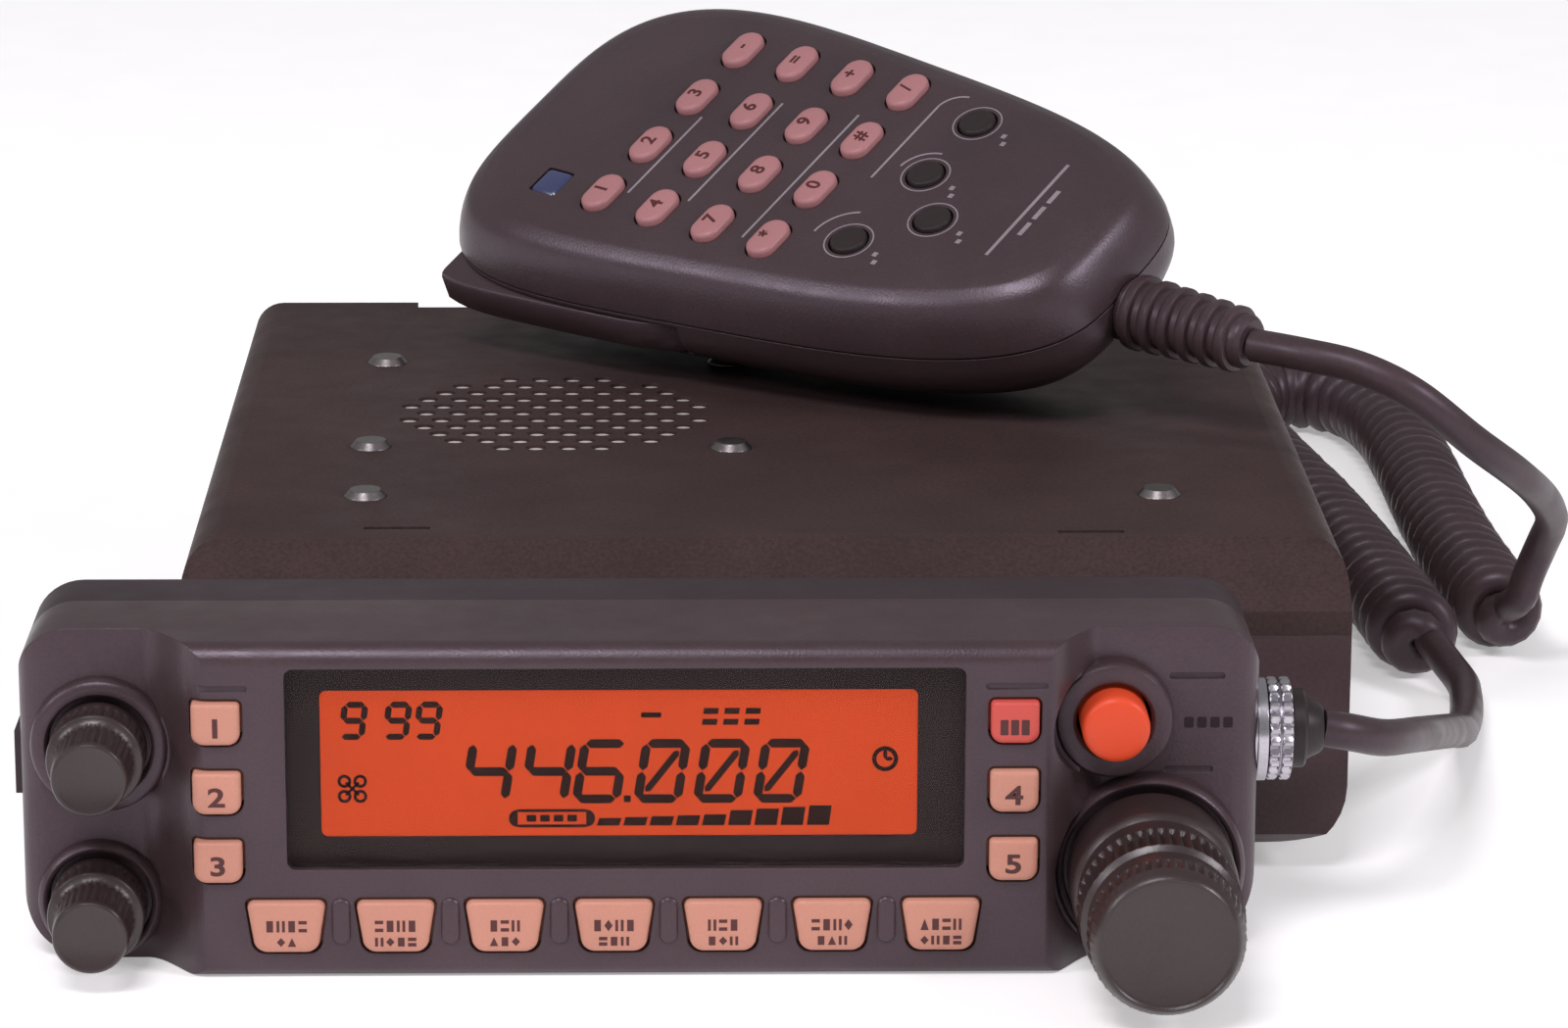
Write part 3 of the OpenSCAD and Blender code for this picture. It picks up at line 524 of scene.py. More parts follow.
def curly(route):
    """A helix round the route, from its top to the side where the plug's lead leaves it."""
    middle = even(catmull(route, 12), COIL_STEP)[8:-4]
    turns = round(path_length(middle) / COIL_PITCH) + 0.25
    last = len(middle) - 1
    out = []
    for i, (p, (_, side, down)) in enumerate(zip(middle, frames(middle))):
        a = -math.pi / 2 - TAU * turns * i / last
        closing = ease(min(i, last - i) * COIL_STEP / COIL_PITCH)
        radius = (COIL_D - CORD_D) / 2 * (COIL_END + (1 - COIL_END) * closing)
        out.append(p + radius * (math.cos(a) * side + math.sin(a) * down))
    return out


def make_cord():
    helix = curly(COIL)
    lead = even(catmull(MIC_LEAD, 12), LEAD_STEP)
    tail = even(catmull(PLUG_LEAD, 12), LEAD_STEP)
    path = even(catmull([tuple(p) for p in lead + helix + tail], 6), PATH_STEP)
    mesh = tube("cord", path, CORD_D / 2, sides=12)
    parts = ["cord_mic_end", "cord_coil", "cord_plug_end"]
    cord = finish_mesh("curly_cord", mesh, None, "cord_rubber", replaces=parts, sharp=60)
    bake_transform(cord)  # fmt: skip
    return cord, path


# ---- Microphone ----

MIC = (
    Matrix.Translation(Vector((0.2, 33.6, 69.55)) * MM)
    @ Euler([math.radians(a) for a in (28.7, 4.8, -39.6)], "XYZ").to_matrix().to_4x4()
)
MIC_LENGTH, MIC_WIDTH, MIC_MIDDLE = 96.6, 56, 9.2
MIC_DEPTH, LEAD_DEPTH = 27, 12
FRONT_SECTION = [(0, 4.6), (0.25, 3.4), (0.6, 2.5), (1.8, 0.9), (4, -0.4), (6.5, -1.3), (8.2, -1.7)]
FAR_BULGE = 0.35
FRONT_HOLLOW = [(2, 5), (4, 2.4), (6.5, 0.9), (9, 0.3)]
REAR_SECTION = [(8.5, -1.7), (12, -1.7), (15, -0.2), (18, 2.6), (21, 6), (24.6, 10.6), (27, 16)]
REAR_HOLLOW = [(8, 0.3), (12, 0.3), (15, 1.9), (18, 4.8), (21, 8.4), (24, 12.5)]
MIC_KEY = (4.2, 7)
ROW_PITCH, COLUMN_PITCH = 9.5, 10.8
PROGRAM_KEYS = [(25, -12.5), (33.5, -5), (27, 2.5), (27.5, 14)]


def mic_ring(inset, depth):
    """The microphone's outline at a depth below its face, with corners of unlike squareness."""
    n, ring = 144, []
    for i in range(n):
        a = TAU * (i + 0.5) / n
        c, s = math.cos(a), math.sin(a)
        p = 3.8 if c > 0 and s > 0 else 3.2 if c > 0 or s > 0 else 4.2
        x = MIC_MIDDLE + (MIC_LENGTH / 2 - inset) * math.copysign(abs(c) ** (2 / p), c)
        half = MIC_WIDTH / 2 * (1.02 - 0.004 * (x + 20))
        reach = half - inset + (FAR_BULGE if s > 0 else 0)
        ring.append((x, reach * math.copysign(abs(s) ** (2 / p), s), -depth))
    return ring


def casing(name, section, steps=1):
    """A solid through the microphone's outlines: section is (depth, inset)."""
    if steps > 1:
        section = [(p.x, p.y) for p in catmull([(d, i, 0) for d, i in section], steps)]
    return loft(name, [mic_ring(inset, depth) for depth, inset in section], MIC)


def lead_hole():
    return lathe("lead_hole", [(4.35, 50), (4.35, 70)], MIC @ towards_x(0, 0, -LEAD_DEPTH), steps=48)


def mic_key_at(i):
    return (i // 4 - 1.5) * ROW_PITCH, (i % 4 - 1.5) * COLUMN_PITCH


def pill(x, y, grow=0.0):
    """A mic key's outline from above."""
    w, h = MIC_KEY[0] / 2 + grow, MIC_KEY[1] / 2 + grow
    r = w - 0.05
    return round_box(x - w, x + w, y - h, y + h, [r] * 4, 10)


def bar_outline(grow, out, thickness):
    """The transmit bar from above, or the slot for it."""
    n = 24
    x0, x1 = -36 - grow, 4 + grow
    y0, y1 = -31.4, -28.2
    side = []
    for i in range(n + 1):
        t = i / n
        side.append((x0 + (x1 - x0) * t, y0 + (y1 - y0) * t - out + 1.6 * abs(2 * t - 1) ** 5))
    return side + [(x1, y1 + thickness), (x0, y1 + thickness)]


def mic_print():
    """Thin printed rules between the key rows and round the program keys, with no lettering."""
    shapes = []

    def rule(x, y0, y1, width=0.35):
        shapes.append([(x, y0), (x + width, y0), (x + width, y1), (x, y1)])

    def curve(x, y, r, a0, a1, width=0.3, n=16):
        outer, inner = arc(x, y, r, a0, a1, n), arc(x, y, r - width, a0, a1, n)
        shapes.extend([outer[i], outer[i + 1], inner[i + 1], inner[i]] for i in range(n))

    rule(-11.2, -14.8, 2.2)
    rule(-1.8, -13.3, 8.5)
    rule(10.2, -17, 10)
    rule(19.9, -0.5, 15)
    curve(23.4, 15, 3.5, 95, 180)
    rule(44.4, -8.5, 10.8, 0.5)
    for y in (-3.6, -0.2, 3.2):
        rule(46.2, y, y + 2.6, 0.7)
    for x, y in PROGRAM_KEYS:
        curve(x, y, 3.45, 0, 360, 0.2, 32)
        rule(x + 4.8, y - 1.5, y - 0.7, 0.7)
        rule(x + 5.6, y - 2.9, y - 2.1, 0.7)
    curve(25, -12.5, 5.9, 110, 180)
    curve(27, 2.5, 4.6, 95, 175)
    return joined("print", [prism("p", shape, "Z", -0.02, 0.03, MIC) for shape in shapes])


def make_microphone():
    cuts = [prism("c", pill(*mic_key_at(i), KEY_GAP), "Z", -4, 1, MIC) for i in range(16)]
    for x, y in PROGRAM_KEYS:
        cuts.append(prism("c", arc(x, y, 2.8, 0, 360, 32)[:-1], "Z", -4, 1, MIC))
    cuts.append(prism("c", round_box(-25.5, -20.9, -19, -14, [0.5] * 4, 4), "Z", -1, 1, MIC))
    cutters = (casing("hollow", FRONT_HOLLOW), joined("cuts", cuts), lead_hole())
    front = combined(casing("front", FRONT_SECTION, 4), [("DIFFERENCE", mesh) for mesh in cutters])
    finish_mesh("mic_face", front, "microphone", "mic_plastic", replaces=["mic_front_shell"])
    slot = prism("slot", bar_outline(KEY_GAP, 6, 12), "Z", -14.7, -9, MIC)
    stud_hole = [(1.6, -MIC_DEPTH - 1), (1.6, -MIC_DEPTH + 4)]
    stud = lathe("stud", stud_hole, MIC @ Matrix.Translation((-8 * MM, 0, 0)), steps=24)
    cutters = (casing("hollow", REAR_HOLLOW), slot, lead_hole(), stud)
    rear = combined(casing("rear", REAR_SECTION, 4), [("DIFFERENCE", mesh) for mesh in cutters])
    finish_mesh("mic_back", rear, "microphone", "mic_plastic", replaces=["mic_rear_shell"])

    # Transmit bar, rounded along its outer side
    levels = [(-14.4, 0.9), (-14.2, 0.3), (-13.7, 0), (-10, 0), (-9.5, 0.3), (-9.3, 0.9)]
    rings = []
    for z, inset in levels:
        rings.append([(x, y + (inset if y < -20 else 0), z) for x, y in bar_outline(0, 0, 10)])
    bar_mesh = loft("bar", rings, MIC)
    finish_mesh("transmit_bar_skin", bar_mesh, "transmit_bar", "mic_plastic", replaces=["ptt_bar"])

    # Ribbed strain relief
    profile = [(4.2, 0), (4.2, 6), (4.9, 6.1)]
    for i in range(6):
        z, r = 6 + 2.9 * i, 5 - 0.13 * i
        profile += [(r - 0.15, z + 0.3), (r, z + 0.6), (r, z + 1.4)]
        profile += [(r - 0.2, z + 1.65), (r - 0.8, z + 1.8), (r - 0.8, z + 2.7)]
    profile += [(3.4, 23.5), (3.0, 23.95), (2.3, 24)]
    relief = lathe("relief", profile, MIC @ towards_x(54, 0, -LEAD_DEPTH), steps=64)
    finish_mesh("mic_relief_skin", relief, "microphone", "cord_rubber", replaces=["mic_strain_relief"])

    # Keys with their marks
    signs = ["1", "2", "3", "-", "4", "5", "6", "=", "7", "8", "9", "+", "*", "0", "#", "/"]
    levels = [
        (-3.4, -0.5), (-2.4, -0.5), (-2.35, 0), (0.35, 0), (0.65, 0.1), (0.85, 0.3), (0.97, 0.7), (1.0, 1.3),
    ]  # fmt: skip
    for i, sign in enumerate(signs):
        x, y = mic_key_at(i)
        rings = [[(px, py, z) for px, py in shrink(pill(x, y), inset)] for z, inset in levels]
        name = f"mic_key_{i + 1}"
        stem = prism("stem", arc(x, y, 1, 0, 360, 12)[:-1], "Z", -7, -3.3, MIC)
        cap = joined(name, [loft(name, rings, MIC), stem])
        finish_mesh(name + "_cap", cap, name + "_body", "mic_key_plastic", replaces=[name])
        turn = MIC @ Matrix.Translation(Vector((x, y, 1)) * MM) @ Matrix.Rotation(math.pi / 2, 4, "Z")
        mark = text_mesh(sign, 2.9, turn)
        finish_mesh(name + "_mark", mark, name + "_body", "mic_key_plastic", "legend")
    keys = []
    for x, y in PROGRAM_KEYS:
        rim = [
            (3.1, -3.4), (3.1, -2.3), (2.5, -2.3), (2.5, 0.2), (2.35, 0.45), (2, 0.58), (1.2, 0.45),
            (0.01, 0.3),
        ]  # fmt: skip
        keys.append(lathe("key", rim, MIC @ Matrix.Translation(Vector((x, y, 0)) * MM), steps=48))
    name = "mic_program_keys"
    finish_mesh(name + "_skin", joined("keys", keys), name + "_body", "black_plastic", replaces=[name])
    lamp = loft(
        "lamp",
        [
            [(x, y, z) for x, y in round_box(-25.3 + i, -21.1 - i, -18.8 + i, -14.2 - i, [0.6] * 4, 4)]
            for z, i in ((-0.9, 0), (-0.25, 0), (0, 0.25), (0.1, 0.6))
        ],
        MIC,
    )
    finish_mesh("mic_lamp", lamp, "microphone", "mic_plastic", "lamp")
    smooth_copy("mic_hanger_stud", "microphone", "nickel")
    finish_mesh("mic_print", mic_print(), "microphone", "mic_plastic", "print")


# ---- Control head ----

HEAD_X = -15.0
HEAD_W = 142.4
HEAD_TOP = 39.6
HEAD_CORNERS = (6, 6, 10, 8)  # top left, top right, bottom right, bottom left
PLATEAU_Y, WING_Y, SPLIT_Y = -103.0, -95.5, -84.0
PLATEAU_X, WING_X = (-49, 46), (-57, 53)
WINDOW = (-40.2, 36.9, 13.1, 36.9)
LIT_AREA = (-36.4, 31.6, 16.2, 33.6)
SIDE_X, SIDE_Z = (-48, 42.5), (30.6, 22.4, 14.2)
POWER, DIAL, VOLUME, SQUELCH = (54.2, 28.9), (58.6, 11), (-61.8, 25.9), (-62.2, 7.2)
COLLAR_Y, KNOB_COLLAR_Y = -98.0, -97.1
# Rings round the knobs and the power button: place, front, inner and outer radius, then the radii
# of the pocket in front, of the hole through the shell and of the solid plastic around
COLLARS = {
    "dial_collar": (DIAL, COLLAR_Y, 9.9, 11.1, 11.3, 3.6, 12.6),
    "power_collar": (POWER, COLLAR_Y, 4.3, 6.9, 7.2, 4.2, 8.5),
    "volume_collar": (VOLUME, KNOB_COLLAR_Y, 5.9, 8.0, 8.2, 3.6, 9.4),
    "squelch_collar": (SQUELCH, KNOB_COLLAR_Y, 5.9, 7.2, 7.4, 3.6, 8.6),
}
FUNCTION_X, FUNCTION_PITCH, FUNCTION_Z = -40.4, 12.45, 6.4
KEY_FRONT_Y, DIAL_FRONT_Y, KNOB_FRONT_Y = -103.9, -124, -109.5
AHEAD_Y = -112  # in front of the whole shell, where what cuts it starts
MARK_Y = (-103.93, -103.85)
SOCKET = (-88, 25)
GRILLE_AT, GRILLE_R, GRILLE_PITCH, GRILLE_HOLE = (-26.5, 5), 22, 4.2, 2.6


def face_y(x):
    """The y of the head's front at an x from its middle: wings, slopes or the plateau between."""
    left = ease((x - WING_X[0]) / (PLATEAU_X[0] - WING_X[0]))
    right = ease((WING_X[1] - x) / (WING_X[1] - PLATEAU_X[1]))
    return WING_Y + (PLATEAU_Y - WING_Y) * (left * right)


def head_solid(inset, rear):
    """The head's outer shape moved in all round, back to the plane y = rear."""
    half = HEAD_W / 2 - inset
    r, n = 3, 20
    plan = [(-half, rear)] + arc(-half + r, WING_Y + inset + r, r, 180, 270, 8)
    for x0, x1 in ((WING_X[0], PLATEAU_X[0]), (PLATEAU_X[1], WING_X[1])):
        plan += [(x, face_y(x) + inset) for x in (x0 + (x1 - x0) * i / n for i in range(n + 1))]
    plan += arc(half - r, WING_Y + inset + r, r, 270, 360, 8) + [(half, rear)]
    outline = round_box(-half, half, inset, HEAD_TOP - inset, [r - inset for r in HEAD_CORNERS], 24)
    front = PLATEAU_Y + inset
    side = (
        [(rear, inset)]
        + arc(front + 2, inset + 2, 2, 270, 180, 8)
        + arc(front + 2.5, HEAD_TOP - inset - 2.5, 2.5, 180, 90, 8)
        + [(rear, HEAD_TOP - inset)]
    )
    return combined(
        prism("plan", shifted(plan), "Z", -1, 42),
        [
            ("INTERSECT", prism("outline", shifted(outline), "Y", AHEAD_Y, rear)),
            ("INTERSECT", prism("side", side, "X", -110, 80)),
        ],
    )


def shifted(outline):
    return [(x + HEAD_X, z) for x, z in outline]


def side_key_outline(i, grow=0.0):
    x, z = SIDE_X[i // 3], SIDE_Z[i % 3]
    radii = [0.5 + grow, 0.5 + grow, 1.4 + grow, 1.4 + grow]
    return round_box(x - 2.75 - grow, x + 2.75 + grow, z - 2.5 - grow, z + 2.5 + grow, radii, 6)


def function_key_x(i):
    return FUNCTION_X + i * FUNCTION_PITCH


def function_key_outline(i, grow=0.0):
    x = function_key_x(i)
    w, v = 4.4 + grow, 3.8 + grow
    z0, z1, r = FUNCTION_Z - 3.05 - grow, FUNCTION_Z + 3.05 + grow, 1.6
    return (
        arc(x + w - 0.8, z1 - 0.8, 0.8, 0, 90, 5)
        + arc(x - w + 0.8, z1 - 0.8, 0.8, 90, 180, 5)
        + arc(x - v + r, z0 + r, r, 180, 270, 8)
        + arc(x + v - r, z0 + r, r, 270, 360, 8)
    )


def round_hole(at, r, y0, y1):
    return lathe("hole", [(r, 0), (r, y1 - y0)], towards_y(HEAD_X + at[0], y0, at[1]), steps=72)


def make_head_shell():
    shell = bevelled(head_solid(0, SPLIT_Y), 0.9, 28, 4, lambda p: p.y < SPLIT_Y - 0.5)
    clear = [round_hole(at, pocket, -115, y) for at, y, _, _, pocket, _, _ in COLLARS.values()]
    holes = [round_hole(at, hole, AHEAD_Y, -86) for at, _, _, _, _, hole, _ in COLLARS.values()]
    holes.append(prism("window", shifted(round_box(*WINDOW, [1] * 4, 5)), "Y", AHEAD_Y, -100))
    holes += [prism("key", shifted(side_key_outline(i, KEY_GAP)), "Y", AHEAD_Y, -95) for i in range(6)]
    holes += [prism("key", shifted(function_key_outline(i, KEY_GAP)), "Y", AHEAD_Y, -99.5) for i in range(7)]
    holes.append(lathe("socket", [(5.8, 0), (5.8, 12)], towards_x(50, *SOCKET), steps=48))
    latch = [(y, z) for y, z in ((-91.5, 18.3), (-84.9, 18.3), (-84.9, 26.4), (-91.5, 26.4))]
    holes.append(prism("latch", latch, "X", -90, -80))
    # Engraved rules over the upper keys, and two of a label frame right of the power button
    for x0, x1, z, y in (
        (-51.9, -44.4, 34.6, -102.7), (39.2, 46.2, 34.7, -102.7),
        (60.6, 67, 33.6, -95.1), (60.2, 65.8, 22.4, -95.2),
    ):  # fmt: skip
        groove = round_box(x0, x1, z - 0.35, z + 0.35, [0.3] * 4, 3)
        holes.append(prism("rule", shifted(groove), "Y", AHEAD_Y, y))
    # The shell stays solid round the collars, so that no hollow shows beside them
    around = [
        ("DIFFERENCE", round_hole(at, solid, -115, y + 2.6)) for at, y, _, _, _, _, solid in COLLARS.values()
    ]
    hollow = combined(head_solid(2, SPLIT_Y + 1), around)
    seats = [round_hole(at, outer - 0.2, y - 1, y + 3.5) for at, y, _, outer, _, _, _ in COLLARS.values()]
    shell = combined(
        shell, [("DIFFERENCE", mesh) for mesh in clear + [hollow] + seats + [joined("holes", holes)]]
    )
    finish_mesh("head_shell", shell, "main_unit", "head_plastic", replaces=["head_front_shell"])
    # Low ridges between the function keys
    ridges = []
    for i in range(6):
        x, z = function_key_x(i + 0.5), 6.9
        rings = []
        for y, w, h in (
            (-102.9, 1.1, 2.8), (-103.15, 1.05, 2.75), (-103.35, 0.85, 2.55), (-103.42, 0.5, 2.2),
        ):  # fmt: skip
            outline = round_box(x - w, x + w, z - h, z + h, [w - 0.02] * 4, 6)
            rings.append([(px, y, pz) for px, pz in shifted(outline)])
        ridges.append(loft("ridge", rings))
    finish_mesh("key_ridges", joined("ridges", ridges), "main_unit", "head_plastic")
    blocks = [round_box(62.4 + 1.5 * k, 63.5 + 1.5 * k, 27.4, 28.7, [0.2] * 4, 2) for k in range(4)]
    finish_mesh(
        "head_label", joined("label", [prism("b", shifted(b), "Y", -95.52, -95.45) for b in blocks]),
        "main_unit", "head_plastic", "shadow_print",
    )  # fmt: skip
    for name, (at, y, inner, outer, *_) in COLLARS.items():
        floor = 1.6 if name != "power_collar" else 3.4
        profile = [
            (3.7, 3.4), (3.7, floor), (inner, floor), (inner + 0.02, 0.6), (inner + 0.15, 0.25),
            (inner + 0.4, 0.05), ((inner + outer) / 2, 0), (outer - 0.45, 0.15), (outer - 0.2, 0.4),
            (outer - 0.05, 0.8), (outer, 1.4), (outer + 0.1, 3.4),
        ]  # fmt: skip
        mesh = lathe(name, profile, towards_y(HEAD_X + at[0], y, at[1]), closed=True)
        finish_mesh(name, mesh, "main_unit", "head_plastic")


def solid_strokes(name, strokes, y_front, y_back):
    """Flat shapes on the front, in the panel's x and z, as thin solids."""
    return joined(name, [prism("s", shifted(s), "Y", y_front, y_back) for s in strokes])


def bar(x0, z0, x1, z1, width, gap=0.0):
    """A six-sided stroke from one point to another."""
    a, b = Vector((x0, z0)), Vector((x1, z1))
    d = (b - a).normalized()
    n = Vector((-d.y, d.x)) * width / 2
    a, b = a + d * gap, b - d * gap
    tip = d * width / 2
    return [tuple(p) for p in (a, a + tip + n, b - tip + n, b, b - tip - n, a + tip - n)]


SEGMENTS = {"0": "abcdefz", "4": "bcfg", "6": "acdefg", "9": "abcdfg"}


def digit(char, x, z, w, h, width, slant):
    """Seven-segment digit with its lower left corner at x, z."""

    def at(u, v):
        return x + w * u + slant * v * h, z + h * v

    ends = {
        "a": ((0, 1), (1, 1)), "b": ((1, 1), (1, 0.5)), "c": ((1, 0.5), (1, 0)), "d": ((0, 0), (1, 0)),
        "e": ((0, 0.5), (0, 0)), "f": ((0, 1), (0, 0.5)), "g": ((0, 0.5), (1, 0.5)),
        "z": ((0.16, 0.12), (0.84, 0.88)),
    }  # fmt: skip
    out = []
    for s in SEGMENTS[char]:
        (u0, v0), (u1, v1) = ends[s]
        out.append(bar(*at(u0, v0), *at(u1, v1), width * (0.75 if s == "z" else 1), 0.06))
    return out


def make_display():
    lit = prism("lit", shifted(round_box(*LIT_AREA, [0.8] * 4, 4)), "Y", -100.0, -99.9)
    finish_mesh("display_face", lit, "main_unit", "display_lit")
    outer = shifted(round_box(-41, 37.7, 12.4, 37.2, [1] * 4, 6))
    inner = shifted(round_box(*LIT_AREA, [0.8] * 4, 6))
    front, back = -100.12, -100.02
    sides = ((outer, front), (inner, front), (inner, back), (outer, back))
    rings = [[(x, y, z) for x, z in ring] for ring, y in sides]
    mask = loft("mask", rings, closed=True)
    finish_mesh("display_mask", mask, "main_unit", "display_glass", "socket_black")
    strokes = []
    for char, x in zip("999", (-34.0, -29.0, -25.5)):
        strokes += digit(char, x, 28.1, 2.3, 3.8, 0.72, 0.14)
    for char, x in zip("446000", (-20.0, -13.3, -7.3, -0.3, 6.5, 13.3)):
        strokes += digit(char, x, 20.6, 4.5, 6.6, 1.05, 0.16)
    strokes.append(round_box(-1.9, -1.1, 20.2, 21.0, [0.1] * 4, 2))
    for i in range(9):
        x, top = -5.0 + 3.0 * i, 18.3 + (0.1 if i < 5 else 0.18) * i
        strokes.append([(x, 17.4), (x + 2.55, 17.4), (x + 2.85, top), (x + 0.3, top)])
    # Label before the meter, without lettering: a rounded frame round a short bar
    x, z, w, h = -10.1, 18.3, 3.9, 0.34
    strokes.append(round_box(x - w, x + w, z + 0.75, z + 0.75 + h, [0.1] * 4, 2))
    strokes.append(round_box(x - w, x + w, z - 0.75 - h, z - 0.75, [0.1] * 4, 2))
    strokes.append(arc(x - w, z, 1.03, 90, 270, 10))
    strokes.append(arc(x + w, z, 1.03, -90, 90, 10))
    for k in range(4):
        strokes.append(round_box(x - 2.9 + 1.55 * k, x - 1.8 + 1.55 * k, z - 0.4, z + 0.4, [0.1] * 4, 2))
    strokes.append(round_box(0.1, 2.4, 30.3, 30.9, [0.1] * 4, 2))
    for i in range(3):
        x = 7.0 + 2.4 * i
        strokes += [[(x, 29.4), (x + 1.7, 29.4), (x + 1.8, 30.1), (x + 0.1, 30.1)]]
        strokes += [[(x + 0.15, 30.7), (x + 1.85, 30.7), (x + 1.95, 31.4), (x + 0.25, 31.4)]]

    def ring(x, z, r, width, n):
        outer, inner = arc(x, z, r, 0, 360, n), arc(x, z, r - width, 0, 360, n)
        return [[outer[i], outer[i + 1], inner[i + 1], inner[i]] for i in range(n)]

    strokes += ring(27.9, 25.3, 1.5, 0.5, 24)
    strokes += [bar(27.9, 25.3, 27.9, 26.4, 0.45), bar(27.9, 25.3, 28.8, 25.3, 0.45)]
    for dx in (-0.9, 0.9):
        for dz in (-0.9, 0.9):
            strokes += ring(-32.8 + dx, 21.9 + dz, 0.8, 0.36, 12)
    strokes += [bar(-33.6, 21.1, -32.0, 22.7, 0.3), bar(-33.6, 22.7, -32.0, 21.1, 0.3)]
    digits = solid_strokes("digits", strokes, -100.06, -100.0)
    finish_mesh("display_digits", digits, "main_unit", "display_lit", "ink")
    smooth_copy("display_window", "main_unit", "display_glass")


# Rows of plain signs on the function keys: block, bars across, bars upright, triangle, dot
KEY_SIGNS = [
    ("bibe", "dt"), ("ebib", "idbe"), ("bei", "tbd"), ("bdib", "ebi"),
    ("ieb", "bdi"), ("ebid", "bti"), ("tbei", "dibe"),
]  # fmt: skip


def small_sign(sign, x, z, w, h):
    x0, x1, z0, z1 = x - w / 2, x + w / 2, z - h / 2, z + h / 2

    def box(a, b, c, d):
        return [(a, c), (b, c), (b, d), (a, d)]

    return {
        "b": [box(x0 + 0.1, x1 - 0.1, z0, z1)],
        "e": [box(x0, x1, z0, z0 + 0.4), box(x0, x1, z1 - 0.4, z1)],
        "i": [box(x0, x0 + 0.32, z0, z1), box(x1 - 0.32, x1, z0, z1)],
        "t": [[(x0, z0), (x1, z0), (x, z1)]],
        "d": [[(x, z0), (x1, z), (x, z1), (x0, z)]],
    }[sign]


def make_head_keys():
    rise = [
        (-95.6, -0.75), (-96.4, -0.75), (-96.45, 0), (-103.3, 0), (-103.6, 0.1), (-103.8, 0.3),
        (KEY_FRONT_Y, 0.65),
    ]  # fmt: skip
    names = ["key_1", "key_2", "key_3", "key_select", "key_4", "key_5"]
    marks = ["1", "2", "3", None, "4", "5"]
    for i, (name, mark) in enumerate(zip(names, marks)):
        slot = "red_key" if name == "key_select" else "lit_key"
        outline = side_key_outline(i)
        rings = [[(x, y, z) for x, z in shifted(shrink(outline, inset))] for y, inset in rise]
        x, z = SIDE_X[i // 3], SIDE_Z[i % 3]
        stem = prism("stem", shifted(arc(x, z, 1.2, 0, 360, 16)[:-1]), "Y", -95.7, -90.8)
        cap = joined(name, [loft(name, rings), stem])
        finish_mesh(name + "_cap", cap, name + "_body", slot, replaces=[name])
        if mark:
            place = Matrix.Translation(Vector((HEAD_X + x, KEY_FRONT_Y, z - 0.5)) * MM)
            digit_mesh = text_mesh(mark, 3.1, place @ Matrix.Rotation(math.pi / 2, 4, "X"), wide=1.3)
            finish_mesh(name + "_mark", digit_mesh, name + "_body", slot, "legend")
        else:
            lefts = [x - 1.7 + 1.2 * k for k in range(3)]
            bars = [round_box(left, left + 0.9, z - 1.4, z + 0.4, [0.1] * 4, 2) for left in lefts]
            finish_mesh(name + "_mark", solid_strokes("mark", bars, *MARK_Y), name + "_body", slot, "legend")
    rise = [
        (-98.6, -0.6), (-99.6, -0.6), (-99.65, 0), (-103.3, 0), (-103.6, 0.12), (-103.8, 0.35),
        (KEY_FRONT_Y, 0.8),
    ]  # fmt: skip
    for i in range(7):
        name = f"function_key_{i + 1}"
        outline = function_key_outline(i)
        rings = [[(x, y, z) for x, z in shifted(shrink(outline, inset))] for y, inset in rise]
        x = function_key_x(i)
        stem = prism("stem", shifted(arc(x, FUNCTION_Z, 1.2, 0, 360, 16)[:-1]), "Y", -98.7, -90.8)
        cap = joined(name, [loft(name, rings), stem])
        finish_mesh(name + "_cap", cap, name + "_body", "lit_key", replaces=[name])
        shapes = []
        for signs, z, h in zip(KEY_SIGNS[i], (6.6, 4.7), (1.35, 1.05)):
            for k, sign in enumerate(signs):
                shapes += small_sign(sign, x + (k - (len(signs) - 1) / 2) * 1.25, z, 0.95, h)
        mark = solid_strokes("mark", shapes, *MARK_Y)
        finish_mesh(name + "_mark", mark, name + "_body", "lit_key", "legend")


